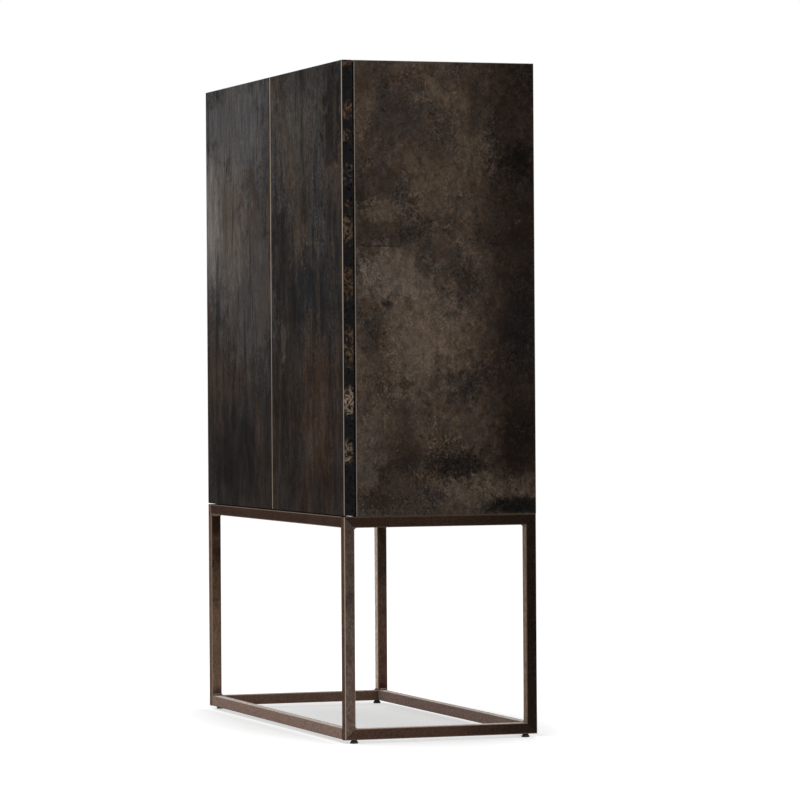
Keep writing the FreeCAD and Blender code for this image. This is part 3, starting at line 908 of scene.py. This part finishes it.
@dataclass(frozen=True, kw_only=True)
class BronzedSteel(Finish):
    """Oxidised brown steel tube with pale rubbed edges, and painted light and shade at its ends and on some
    faces.
    """

    smooth: float = 0.55
    rough: float = 0.8
    shine: float = 0.01
    shine_tint: Colour = WARM_SHINE
    ground: Tone = Tone(66, 50, 42)
    rub: Tone = Tone(86, 69, 59)
    # The high, low, front and upper tones are painted light and shade: the upper end in the shade of the
    # case, the lower end lit near the floor, a reflection on faces that look to the front, and a pale sheen
    # on top faces, which the top rails set dark as the shade under the case
    high: Tone = Tone(66, 50, 42)
    low: Tone = Tone(66, 50, 42)
    front: Tone = Tone(66, 50, 42)
    upper: Tone = Tone(228, 216, 207)
    # This dark tone is the mottling's oxidised patches and also the painted shade in corners and towards the
    # rear
    oxide_and_shade: Tone = Tone(28, 21, 17)
    pit: Tone = Tone(28, 21, 18)
    rubbed: Tone = Tone(150, 132, 116)
    seam: Tone = Tone(36, 27, 23)
    worn: float = 0.75
    upright: float = 0.5
    seam_wander: float = 0.0012
    seam_wide: float = 0.0013
    seam_narrow: float = 0.0004
    size: StandSize

    def mitre_seam(self, bench: SurfaceBench) -> Socket:
        """Draw the ground weld line along the mitres of the side frames.

        Args:
            bench: The material's nodes.

        Returns:
            One on the line, and zero elsewhere.
        """
        size = self.size
        _, y, z = bench.parts(bench.place)
        inward = bench.minus(size.half_depth, bench.unsigned(y))
        level = bench.sums("MINIMUM", bench.minus(size.top, z), bench.minus(z, size.bottom))
        wander = bench.times(bench.minus(bench.noise(bench.place, 260.0, 3.0, 0.6), 0.5), self.seam_wander)
        off = bench.unsigned(bench.plus(bench.minus(inward, level), wander))
        near = bench.step(off, self.seam_wide, self.seam_narrow)
        in_joint = bench.times(bench.under(inward, size.tube), bench.under(level, size.tube))
        sideways = bench.over(bench.unsigned(bench.parts(bench.facing)[0]), FLAT)
        return bench.times(near, in_joint, sideways)

    def painted_light_and_shade(self, bench: SurfaceBench, colour: Socket) -> Socket:
        """Paint light and shade over the even colour at the upper end, the lower end, the front and the top.

        Args:
            bench: The material's nodes.
            colour: The even colour of the tubes.

        Returns:
            The colour with its painted light and shade.
        """
        size = self.size
        x, y, z = bench.parts(bench.place)
        side, front, up = bench.parts(bench.facing)
        middle = (size.top + size.bottom) / 2
        joint = size.bottom + size.tube
        wander = bench.minus(bench.noise(bench.place, 16.0, 4.0, 0.6), 0.5)
        level = bench.plus(z, bench.times(wander, 0.2))
        # Painted shade darkens the upper end under the case; painted light brightens the lower end near the
        # floor
        for tone, end in ((self.high, size.top - 2 * size.tube), (self.low, size.bottom + 2 * size.tube)):
            colour = bench.blend(bench.step(level, middle, end, 0.0, 0.9), colour, tone)
        # Painted shade where the left legs meet the floor rail
        joint_shade = bench.times(bench.step(z, size.bottom + 2.4 * size.tube, joint, 0.0, 0.7),
                            bench.step(side, TURNS, TURNED), bench.under(x, 0.0), bench.over(z, joint))
        # Painted shade towards the rear of the right side, where less light falls
        rear = bench.times(bench.step(y, -0.2 * size.half_depth, 0.9 * size.half_depth, 0.0, 0.75),
                           bench.step(x, 0.8 * size.half_width, size.half_width))
        for share in (joint_shade, rear):
            colour = bench.blend(share, colour, self.oxide_and_shade)
        # Painted reflection on the faces that look to the front; top faces take the top tone, a painted sheen
        # on most tubes and painted shade under the case on the top rails
        colour = bench.blend(bench.step(front, -TURNS, -TURNED, 0.0, 0.9), colour, self.front)
        return bench.blend(bench.step(up, TURNS, TURNED, 0.0, 0.85), colour, self.upper)

    def look(self, bench: SurfaceBench) -> Look:
        """Draw the tube.

        Args:
            bench: The material's nodes.

        Returns:
            The colour and the relief.
        """
        clouds = bench.effect(Effect.CLOUDS, place=bench.place, clouds=14.0, upright=self.upright, ragged=0.7,
                              ground=self.ground, cloud=self.rub,
                              cool=self.ground, shade=self.oxide_and_shade)
        pits = bench.effect(Effect.PITTING, place=bench.place, scale=420.0, share=0.45)
        colour = self.painted_light_and_shade(bench, clouds["Colour"])
        colour = bench.blend(bench.times(pits["Pits"], 0.6), colour, self.pit)
        colour = bench.blend(bench.times(self.mitre_seam(bench), 0.8), colour, self.seam)
        colour = bench.shaded(colour, clouds["Tint"])
        colour = bench.blend(bench.times(self.wear(bench), self.worn), colour, self.rubbed)
        return colour, bench.plus(clouds["Relief"], pits["Relief"])


@dataclass(frozen=True)
class BrightSteel(Finish):
    """Plain zinc-bright steel of screws, studs and pins."""

    smooth: float = 0.26
    rough: float = 0.44
    lost: float = 0.4
    shine: float = 0.5
    metallic: float = 1.0
    depth: float = 0.0001
    strength: float = 0.3
    ground: Tone = Tone(178, 176, 172)
    dull: Tone = Tone(128, 124, 118)
    rubbed: Tone = Tone(210, 208, 204)

    def look(self, bench: SurfaceBench) -> Look:
        """Draw the steel.

        Args:
            bench: The material's nodes.

        Returns:
            The colour and the relief.
        """
        streaks = bench.effect(Effect.STREAKS, place=bench.place, across=900.0, along=900.0)
        colour = bench.blend(bench.step(streaks["Broad"], 0.4, 0.7), self.ground, self.dull)
        return bench.blend(self.wear(bench), colour, self.rubbed), streaks["Hair"]


@dataclass(frozen=True)
class BlackedSteel(Finish):
    """Blacked steel of the hinges, with paler flecks."""

    smooth: float = 0.45
    rough: float = 0.65
    shine: float = 0.04
    depth: float = 0.0002
    ground: Tone = Tone(5, 5, 5)
    brown: Tone = Tone(13, 11, 10)
    rubbed: Tone = Tone(26, 24, 23)

    def look(self, bench: SurfaceBench) -> Look:
        """Draw the steel.

        Args:
            bench: The material's nodes.

        Returns:
            The colour and the relief.
        """
        pits = bench.effect(Effect.PITTING, place=bench.place, scale=600.0, share=0.5)
        rust = bench.step(bench.noise(bench.place, 40.0, 5.0, 0.65), 0.45, 0.68)
        colour = bench.blend(rust, self.ground, self.brown)
        colour = bench.blend(bench.times(pits["Flecks"], 0.5), colour, self.rubbed)
        return colour, pits["Relief"]


@dataclass(frozen=True)
class MouldedPlastic(Finish):
    """Black moulded plastic with a fine eroded grain."""

    smooth: float = 0.48
    rough: float = 0.66
    lost: float = 0.5
    depth: float = 0.0001
    ground: Tone = Tone(22, 22, 23)
    scuff: Tone = Tone(44, 43, 42)

    def look(self, bench: SurfaceBench) -> Look:
        """Draw the plastic.

        Args:
            bench: The material's nodes.

        Returns:
            The colour and the relief.
        """
        dust = bench.step(bench.noise(bench.place, 90.0, 4.0, 0.6), 0.5, 0.75, 0.0, 0.4)
        colour = bench.blend(dust, self.ground, self.scuff)
        colour = bench.blend(bench.times(self.wear(bench), 0.5), colour, self.scuff)
        return colour, bench.noise(bench.place, 1800.0, 2.0, 0.5)


@dataclass
class Stand:
    """The welded stand of square tube with its levelling feet."""

    size: StandSize
    rounding: float = 0.003
    bead_leg: float = 0.005
    bead_ripple: float = 0.0013
    bead_swell: float = 0.05
    bead_lag: float = 0.0005
    bead_hollow: float = 0.36
    bead_end: float = 0.55
    bead_taper: float = 4.5
    bead_steps: int = 54
    bead_arc: int = 8

    def corners(self) -> Iterable[Corner]:
        """Find the inner corners of the tubes.

        Yields:
            For each corner its middle, the two ways out of it and the way along it.
        """
        size, tube = self.size, self.size.tube
        for side in Side:
            for row in Row:
                middle_x, inner_x = (side.value * (size.half_width - tube * part) for part in (0.5, 1))
                middle_y, inner_y = (row.value * (size.half_depth - tube * part) for part in (0.5, 1))
                inward, sideways = Vector((0, -row.value, 0)), Vector((-side.value, 0, 0))
                for level, up in ((size.bottom + tube, 1), (size.top - tube, -1)):
                    out = Vector((0, 0, up))
                    yield Vector((middle_x, inner_y, level)), inward, out, Vector((1, 0, 0))
                    yield Vector((inner_x, middle_y, level)), sideways, out, Vector((0, 1, 0))

    def lay_bead(self, mesh: bmesh.types.BMesh, corner: Corner) -> None:
        """Lay one rippled weld bead into a corner.

        Args:
            mesh: The mesh that takes the bead.
            corner: The corner's middle, the two ways out of it and the way along it.
        """
        middle, first, second, along = corner
        length = self.size.tube - 2 * self.rounding
        rings = []
        for step in range(self.bead_steps + 1):
            share = step / self.bead_steps
            start = middle + along * (length * (share - 0.5))
            taper = min(1.0, self.bead_end + self.bead_taper * min(share, 1 - share))
            ring = [mesh.verts.new(start)]
            for turn in range(self.bead_arc + 1):
                angle = math.pi / 2 * turn / self.bead_arc
                bow = math.sin(2 * angle)
                wave = math.sin(2 * math.pi * (share * length + self.bead_lag * bow) / self.bead_ripple)
                swell = 1 + self.bead_swell * wave * bow
                leg = self.bead_leg * taper * swell * (1 - self.bead_hollow * bow)
                way = first * math.cos(angle) + second * math.sin(angle)
                ring.append(mesh.verts.new(start + way * leg))
            rings.append(ring)
        for one, two in zip(rings, rings[1:]):
            for place in range(len(one)):
                after = (place + 1) % len(one)
                face = mesh.faces.new((one[place], two[place], two[after], one[after]))
                face.smooth = place not in (0, len(one) - 1)
        mesh.faces.new(rings[0])
        mesh.faces.new(list(reversed(rings[-1])))

    def weld_beads(self) -> bpy.types.Object:
        """Build the beads of all corners as one piece.

        Returns:
            The piece, which stands for the plain fillets.
        """
        mesh = bmesh.new()
        for corner in self.corners():
            self.lay_bead(mesh, corner)
        bmesh.ops.recalc_face_normals(mesh, faces=mesh.faces)
        piece = linked("weld_beads", mesh)
        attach(piece, "cabinet")
        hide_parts("weld_fillets")
        return piece

    def dress_legs(self) -> None:
        """Dress each leg in its own tones, which mostly paint the light and shade that falls on it, such as
        the darker rear right leg and pale painted reflections on faces that look to the front.
        """
        BronzedSteel(
            "bronzed_leg_near", ground=Tone(84, 71, 64), rub=Tone(104, 89, 81), high=Tone(76, 62, 54),
            low=Tone(107, 90, 81), front=Tone(84, 62, 51), rubbed=Tone(174, 156, 140), worn=0.85,
            size=self.size,
        ).dress("leg_front_right")
        BronzedSteel(
            "bronzed_leg_left", ground=Tone(102, 82, 67), rub=Tone(118, 96, 79), high=Tone(44, 28, 19),
            low=Tone(122, 101, 86), front=Tone(112, 88, 73), size=self.size,
        ).dress("leg_front_left")
        BronzedSteel(
            "bronzed_leg_far", ground=Tone(82, 64, 52), rub=Tone(98, 77, 64), high=Tone(48, 36, 29),
            low=Tone(94, 68, 57), front=Tone(230, 207, 192), worn=0.55, size=self.size,
        ).dress("leg_rear_left")
        BronzedSteel(
            "bronzed_leg_rear", ground=Tone(38, 29, 24), rub=Tone(48, 37, 31), high=Tone(44, 33, 27),
            low=Tone(60, 45, 39), front=Tone(146, 124, 111), worn=0.3, size=self.size,
        ).dress("leg_rear_right")

    def dress_rails(self) -> None:
        """Dress each rail in its own tones, with mottling that runs along it; the tones paint light and
        shade: darker top rails with painted shade on their tops under the case, and paler floor rails, the
        front and rear ones with a pale painted reflection on the faces that look to the front.
        """
        # The third tone is painted shade on the top faces of the top rails, under the case
        along, plain, under_case_shade = 1.5, Tone(52, 38, 31), Tone(28, 21, 17)
        for place, ground, worn in ((Side.RIGHT, plain, 0.25), (Side.LEFT, plain, 0.25),
                                    (Row.FRONT, Tone(60, 44, 36), 0.7), (Row.REAR, plain, 0.25)):
            BronzedSteel(
                f"bronzed_top_rail_{place.word}", ground=ground, rub=Tone(74, 55, 45), high=ground,
                front=ground, upper=under_case_shade, worn=worn, upright=along, size=self.size,
            ).dress(f"top_rail_{place.word}")
        for place, ground, front in ((Side.RIGHT, Tone(80, 60, 51), Tone(66, 50, 42)),
                                     (Side.LEFT, Tone(108, 86, 74), Tone(66, 50, 42)),
                                     (Row.FRONT, Tone(76, 59, 50), Tone(146, 123, 113)),
                                     (Row.REAR, Tone(76, 59, 50), Tone(146, 124, 116))):
            BronzedSteel(
                f"bronzed_floor_rail_{place.word}", ground=ground, rub=Tone(90, 71, 61), low=ground,
                front=front, worn=0.55, upright=along, size=self.size,
            ).dress(f"floor_rail_{place.word}")

    def dress(self) -> None:
        """Dress the tubes, the beads and the feet."""
        self.dress_legs()
        self.dress_rails()
        fittings = BronzedSteel("bronzed_fittings", worn=0.55, size=self.size)
        fittings.dress("case_tabs", "weld_fillets")
        fittings.cover(self.weld_beads())
        bright = BrightSteel("bright_steel")
        bright.dress("case_tab_screws")
        BlackedSteel("blacked_steel").dress("foot_bushes")
        for row in Row:
            for side in Side:
                bright.dress(f"foot_stud_{row.word}_{side.word}")
                MouldedPlastic("black_plastic").dress(f"foot_pad_{row.word}_{side.word}")


@dataclass
class Case:
    """The panels of the case."""

    side_marks: tuple[Mark, ...]
    margin: float = 0.0005

    def dress(self) -> None:
        """Dress the panels, the back and what holds them together."""
        inner = {"inner_x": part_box("side_panel_right")[0].x + self.margin,
                 "inner_low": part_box("bottom_panel")[1].z - self.margin,
                 "inner_high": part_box("top_panel")[0].z + self.margin,
                 "front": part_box("side_panel_right")[0].y}
        MottledPatina("side_patina_right", marks=self.side_marks, **inner).dress("side_panel_right")
        MottledPatina("side_patina_left", **inner).dress("side_panel_left")
        lining = StainedWood("lining", grain=Grain.ACROSS)
        # The top and the bottom get half the painted shade towards the back
        level = MottledPatina("level_patina", lining=lining, back_shade=0.4, **inner)
        level.dress("top_panel", "bottom_panel")
        StainedWood("upright_wood").dress("back_panel")
        StainedWood("inward_wood", grain=Grain.INWARD).dress("mitre_splines")
        BrightSteel("bright_steel").dress("back_screws")


@dataclass
class Inside:
    """The shelves and the bar fittings."""

    size: StandSize

    def dress(self) -> None:
        """Dress the boards, the stemware rails and the pins."""
        across = StainedWood("level_wood", grain=Grain.ACROSS)
        across.dress("fixed_shelf", "shelf_left", "shelf_right", "bottle_board_front", "bottle_board_rear")
        StainedWood("upright_wood").dress("divider")
        BronzedSteel("bronzed_inside", size=self.size).dress("stemware_rails")
        BrightSteel("bright_steel").dress("shelf_pins", "stemware_screws")


@dataclass
class Doors:
    """The two doors with their hinges and latches."""

    figures: tuple[Mark, ...]
    marks: tuple[Mark, ...]

    def dress(self) -> None:
        """Dress the doors, the hinges and the latches."""
        hinge, bright = BlackedSteel("blacked_steel"), BrightSteel("bright_steel")
        # broken is the share of the clouds' tint; fades_from is where the painted reflection starts to fade
        # down the front
        for side, broken, fades_from in ((Side.LEFT, 0.4, 1.15), (Side.RIGHT, 1.0, 1.3)):
            word = side.word
            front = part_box(f"door_{word}")[0].y
            patina = StreakedPatina(f"door_patina_{word}", front=front, broken=broken, fades_from=fades_from,
                                    figures=self.figures, marks=self.marks)
            patina.dress(f"door_{word}")
            hinge.dress(f"hinge_case_leaf_{word}", f"hinge_door_leaf_{word}", f"hinge_pin_{word}")
            hinge.dress(f"hinge_door_screws_{word}")
            MouldedPlastic("black_plastic").dress(f"latch_housing_{word}", f"latch_plunger_{word}")
            bright.dress(f"latch_strike_{word}")
        hinge.dress("hinge_case_screws")
        bright.dress("latch_screws")


@dataclass
class Studio:
    """The pale floor, the soft light and the camera."""

    ambient: float = 0.61
    floor_white: float = 0.86
    near_lift: float = 0.30
    far_lift: float = 0.5
    lift_shape: tuple[float, float, float] = (0.8, 1.7, 1.0)
    near_reach: float = 0.45
    far_reach: float = 0.8
    rail_lift: float = 0.24
    rail_reach: float = 0.038
    floor_reach: float = 60.0
    lamp_place: tuple[float, float, float] = (0.4, -0.4, 4.6)
    lamp_aim: tuple[float, float, float] = (0.1, 0.0, 0.0)
    lamp_side: float = 5.0
    lamp_power: float = 110.0
    camera_place: tuple[float, float, float] = (9.0375, -3.0412, 0.8087)
    azimuth: float = 70.892
    pitch: float = 0.2875
    roll: float = 0.3684
    lens: float = 181.58
    sensor: float = 36.0
    sight: float = 200.0

    def background_share(self, bench: Bench) -> Socket:
        """Tell the rays that show the background from those that light the object.

        Args:
            bench: The nodes of the world or of a material.

        Returns:
            One for camera, glossy and transmission rays.
        """
        path = bench.add("ShaderNodeLightPath")
        seen = bench.sums("MAXIMUM", path.outputs["Is Camera Ray"], path.outputs["Is Glossy Ray"])
        return bench.sums("MAXIMUM", seen, path.outputs["Is Transmission Ray"])

    def light_world(self) -> None:
        """Make an even white world that lights the object softly."""
        world = bpy.data.worlds.new("studio")
        world.use_nodes = True
        world.node_tree.nodes.clear()
        bench = Bench(world.node_tree)
        strength = bench.between(self.background_share(bench), self.ambient, 1.0)
        background = bench.read(bench.add("ShaderNodeBackground"), {"Color": WHITE, "Strength": strength})
        bench.feed(bench.add("ShaderNodeOutputWorld").inputs["Surface"], background)
        bpy.context.scene.world = world

    def under_rails(self, bench: Bench, place: Socket) -> Socket:
        """Soften the contact shadow along the floor rails.

        Args:
            bench: The floor's nodes.
            place: The place on the floor in metres.

        Returns:
            The extra glow, which fades away from the rails.
        """
        x, y, _ = (bench.unsigned(part) for part in bench.parts(place))
        past_x = bench.minus(x, sum(corner.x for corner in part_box("floor_rail_right")) / 2)
        past_y = bench.minus(y, sum(corner.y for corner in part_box("floor_rail_rear")) / 2)
        away = bench.unsigned(bench.sums("MAXIMUM", past_x, past_y))
        return bench.step(away, self.rail_reach, 0.0, 0.0, self.rail_lift)

    def floor_paint(self) -> bpy.types.Material:
        """Mix a pale paint whose glow lightens the shadow.

        Returns:
            The material.
        """
        material = bpy.data.materials.new("pale_floor")
        material.use_nodes = True
        material.node_tree.nodes.clear()
        bench = Bench(material.node_tree)
        white = (self.floor_white, self.floor_white, self.floor_white, 1.0)
        paint = bench.read(bench.add("ShaderNodeBsdfDiffuse"), {"Color": white})
        place = bench.add("ShaderNodeTexCoord").outputs["Object"]
        away = bench.length(bench.scaled(place, self.lift_shape))
        lift = bench.step(away, self.near_reach, self.far_reach, self.near_lift, self.far_lift)
        lift = bench.plus(lift, self.under_rails(bench, place))
        strength = bench.times(self.background_share(bench), lift)
        glow = bench.read(bench.add("ShaderNodeEmission"), {"Strength": strength})
        both = bench.read(bench.add("ShaderNodeAddShader"), {0: paint, 1: glow})
        bench.feed(bench.add("ShaderNodeOutputMaterial").inputs["Surface"], both)
        return material

    def lay_floor(self) -> None:
        """Lay a wide pale floor that keeps the object's shadow."""
        mesh = bmesh.new()
        bmesh.ops.create_grid(mesh, x_segments=4, y_segments=4, size=self.floor_reach)
        floor = linked("floor", mesh)
        floor.data.materials.append(self.floor_paint())

    def hang_lamp(self) -> None:
        """Hang a soft square lamp overhead."""
        data = bpy.data.lights.new("overhead", "AREA")
        data.shape = "SQUARE"
        data.size = self.lamp_side
        data.energy = self.lamp_power
        lamp = bpy.data.objects.new("overhead", data)
        lamp.location = self.lamp_place
        downward = Vector(self.lamp_aim) - Vector(self.lamp_place)
        lamp.rotation_euler = downward.to_track_quat("-Z", "Y").to_euler()
        lamp.visible_camera = False
        bpy.context.scene.collection.objects.link(lamp)

    def stand_camera(self) -> None:
        """Stand the camera where the photograph was taken."""
        azimuth, pitch, roll = (math.radians(angle) for angle in (self.azimuth, self.pitch, self.roll))
        level = math.cos(pitch)
        back = Vector((math.sin(azimuth) * level, -math.cos(azimuth) * level, math.sin(pitch)))
        right = (-back).cross(Vector((0, 0, 1))).normalized()
        down = (-back).cross(right)
        across = right * math.cos(roll) + down * math.sin(roll)
        upward = right * math.sin(roll) - down * math.cos(roll)
        data = bpy.data.cameras.new("camera")
        data.sensor_fit = "HORIZONTAL"
        data.sensor_width = self.sensor
        data.lens = self.lens
        data.clip_end = self.sight
        camera = bpy.data.objects.new("camera", data)
        turn = Matrix((across, upward, back)).transposed().to_4x4()
        camera.matrix_world = Matrix.Translation(self.camera_place) @ turn
        bpy.context.scene.collection.objects.link(camera)
        bpy.context.scene.camera = camera

    def set_up(self) -> None:
        """Set up the light, the floor and the camera."""
        bpy.context.scene.view_settings.view_transform = "Standard"
        self.light_world()
        self.lay_floor()
        self.hang_lamp()
        self.stand_camera()
        LOG.info("studio set up")


def linked(name: str, mesh: bmesh.types.BMesh) -> bpy.types.Object:
    """Make an object of a mesh and put it into the scene.

    Args:
        name: The object's name.
        mesh: The mesh, which is used up.

    Returns:
        The object.
    """
    data = bpy.data.meshes.new(name)
    mesh.to_mesh(data)
    mesh.free()
    piece = bpy.data.objects.new(name, data)
    bpy.context.scene.collection.objects.link(piece)
    return piece


# A reach that goes right through a piece, and how far and how finely a burl figure is torn
THROUGH = 50.0
BURL = (0.7, 90.0)


def side_mark(middle: tuple[float, float], reach: tuple[float, float], tone: Tone, strength: float,
              ragged: float, tear: float) -> Mark:
    """Make a spot that goes through a side panel or along a door's edge."""
    return Mark((0.0, *middle), (THROUGH, *reach), tone, strength, ragged, tear)


def door_mark(middle: tuple[float, float], reach: tuple[float, float], tone: Tone, strength: float,
              ragged: float, tear: float) -> Mark:
    """Make a spot that goes through a door."""
    (x, z), (wide, high) = middle, reach
    return Mark((x, 0.0, z), (wide, THROUGH, high), tone, strength, ragged, tear)


EDGE_FIGURES = (
    side_mark((-0.215, 1.514), (0.024, 0.011), Tone(94, 73, 56), 0.95, *BURL),
    side_mark((-0.214, 1.408), (0.020, 0.028), Tone(100, 78, 58), 0.95, *BURL),
    side_mark((-0.218, 1.350), (0.014, 0.020), Tone(92, 75, 60), 0.9, *BURL),
    side_mark((-0.213, 1.268), (0.018, 0.032), Tone(84, 74, 66), 0.8, *BURL),
    side_mark((-0.210, 1.198), (0.014, 0.014), Tone(88, 69, 53), 0.85, *BURL),
    side_mark((-0.215, 1.146), (0.022, 0.042), Tone(98, 80, 62), 0.95, *BURL),
    side_mark((-0.216, 1.024), (0.020, 0.050), Tone(88, 68, 50), 0.95, *BURL),
    side_mark((-0.214, 0.880), (0.020, 0.060), Tone(96, 76, 56), 0.95, *BURL),
    side_mark((-0.214, 0.762), (0.018, 0.040), Tone(150, 130, 112), 0.95, *BURL),
    side_mark((-0.217, 0.648), (0.014, 0.034), Tone(140, 122, 101), 0.9, *BURL),
)

SIDE_MARKS = (
    side_mark((-0.172, 1.405), (0.026, 0.060), Tone(84, 71, 60), 0.6, 0.7, 50.0),
    side_mark((-0.080, 1.485), (0.060, 0.034), Tone(70, 57, 49), 0.6, 0.4, 25.0),
    side_mark((-0.100, 1.385), (0.078, 0.070), Tone(53, 47, 46), 0.65, 0.4, 25.0),
    side_mark((-0.048, 1.440), (0.020, 0.016), Tone(84, 72, 62), 0.6, 0.7, 70.0),
    side_mark((0.080, 1.318), (0.062, 0.062), Tone(80, 69, 58), 0.6, 1.0, 45.0),
    side_mark((0.190, 1.300), (0.046, 0.050), Tone(14, 12, 11), 0.8, 1.7, 80.0),
    side_mark((-0.022, 1.222), (0.055, 0.042), Tone(82, 70, 60), 0.6, 0.4, 25.0),
    side_mark((-0.132, 1.255), (0.066, 0.034), Tone(40, 36, 34), 0.22, 1.6, 60.0),
    side_mark((-0.138, 1.186), (0.060, 0.030), Tone(96, 85, 74), 0.5, 1.8, 90.0),
    side_mark((-0.120, 1.140), (0.085, 0.030), Tone(42, 36, 33), 0.42, 0.9, 45.0),
    side_mark((-0.014, 1.135), (0.004, 0.042), Tone(84, 70, 58), 0.5, 0.5, 120.0),
    side_mark((-0.115, 1.045), (0.110, 0.075), Tone(104, 93, 84), 0.6, 0.8, 40.0),
    side_mark((0.080, 1.085), (0.036, 0.050), Tone(78, 66, 56), 0.5, 1.2, 70.0),
    side_mark((0.068, 1.035), (0.044, 0.030), Tone(28, 25, 23), 0.5, 1.5, 60.0),
    side_mark((-0.150, 1.1068), (0.078, 0.0018), Tone(22, 19, 17), 0.85, 0.08, 30.0),
    side_mark((-0.045, 0.915), (0.120, 0.160), Tone(98, 86, 76), 0.58, 0.8, 40.0),
    side_mark((-0.165, 0.905), (0.036, 0.070), Tone(40, 37, 36), 0.6, 0.6, 30.0),
    side_mark((0.195, 0.915), (0.055, 0.100), Tone(22, 22, 21), 0.6, 0.5, 25.0),
    side_mark((0.075, 0.790), (0.075, 0.044), Tone(30, 27, 25), 0.6, 1.6, 55.0),
    side_mark((-0.180, 0.640), (0.055, 0.130), Tone(80, 71, 64), 0.6, 0.8, 40.0),
    side_mark((0.085, 0.700), (0.048, 0.062), Tone(66, 56, 50), 0.5, 0.4, 25.0),
    side_mark((0.190, 0.680), (0.066, 0.115), Tone(24, 18, 15), 0.75, 0.3, 20.0),
    side_mark((-0.090, 0.632), (0.060, 0.052), Tone(24, 20, 18), 0.3, 2.6, 150.0),
    side_mark((0.075, 0.562), (0.085, 0.050), Tone(84, 74, 63), 0.6, 0.9, 45.0),
    side_mark((0.052, 0.622), (0.062, 0.036), Tone(14, 12, 11), 0.65, 2.6, 190.0),
    side_mark((0.052, 0.614), (0.060, 0.036), Tone(10, 9, 8), 0.6, 2.6, 85.0),
    side_mark((-0.150, 0.540), (0.066, 0.024), Tone(18, 16, 15), 0.5, 2.4, 170.0),
    side_mark((0.195, 0.524), (0.122, 0.030), Tone(13, 13, 12), 0.95, 0.4, 40.0),
)

DOOR_MARKS_AND_SHEEN = (
    # The first four paint a reflection: a pale sheen over the left door's upper left and a bright highlight
    # along its left edge; the rest are patina
    door_mark((-0.280, 1.420), (0.340, 0.190), Tone(98, 97, 98), 0.6, 0.7, 20.0),
    door_mark((-0.200, 1.040), (0.320, 0.240), Tone(96, 92, 89), 0.34, 0.8, 20.0),
    door_mark((-0.380, 1.190), (0.240, 0.240), Tone(112, 103, 97), 0.5, 0.7, 20.0),
    door_mark((-0.530, 1.195), (0.150, 0.220), Tone(136, 131, 127), 0.6, 0.4, 18.0),
    door_mark((-0.290, 0.620), (0.240, 0.170), Tone(18, 18, 19), 0.72, 0.6, 18.0),
    door_mark((0.200, 1.380), (0.220, 0.130), Tone(79, 74, 70), 0.55, 0.9, 35.0),
    door_mark((0.470, 1.400), (0.095, 0.150), Tone(18, 18, 20), 0.75, 1.0, 28.0),
    door_mark((0.080, 1.080), (0.095, 0.190), Tone(20, 20, 23), 0.75, 0.9, 24.0),
    door_mark((0.225, 1.130), (0.070, 0.060), Tone(88, 76, 66), 0.45, 2.0, 70.0),
    door_mark((0.310, 0.995), (0.220, 0.145), Tone(22, 24, 28), 0.65, 1.0, 28.0),
    door_mark((0.092, 0.893), (0.026, 0.070), Tone(88, 80, 74), 0.5, 0.8, 40.0),
    door_mark((0.300, 0.905), (0.075, 0.075), Tone(78, 67, 58), 0.5, 1.4, 45.0),
    door_mark((0.360, 0.740), (0.170, 0.200), Tone(66, 48, 37), 0.55, 1.0, 35.0),
    door_mark((0.100, 0.640), (0.130, 0.180), Tone(28, 22, 19), 0.65, 0.8, 24.0),
    door_mark((0.340, 0.550), (0.230, 0.090), Tone(42, 30, 25), 0.6, 0.6, 20.0),
)


def main() -> None:
    """Load the frame, dress it piece by piece and set up the studio."""
    logging.basicConfig(level=logging.INFO, format="%(name)s: %(message)s")
    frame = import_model()
    FRAME_NODES.update(frame["nodes"])
    size = StandSize.packed()
    Stand(size).dress()
    Case(side_marks=SIDE_MARKS).dress()
    Inside(size).dress()
    Doors(figures=EDGE_FIGURES, marks=DOOR_MARKS_AND_SHEEN).dress()
    Studio().set_up()


if __name__ == "__main__":
    main()
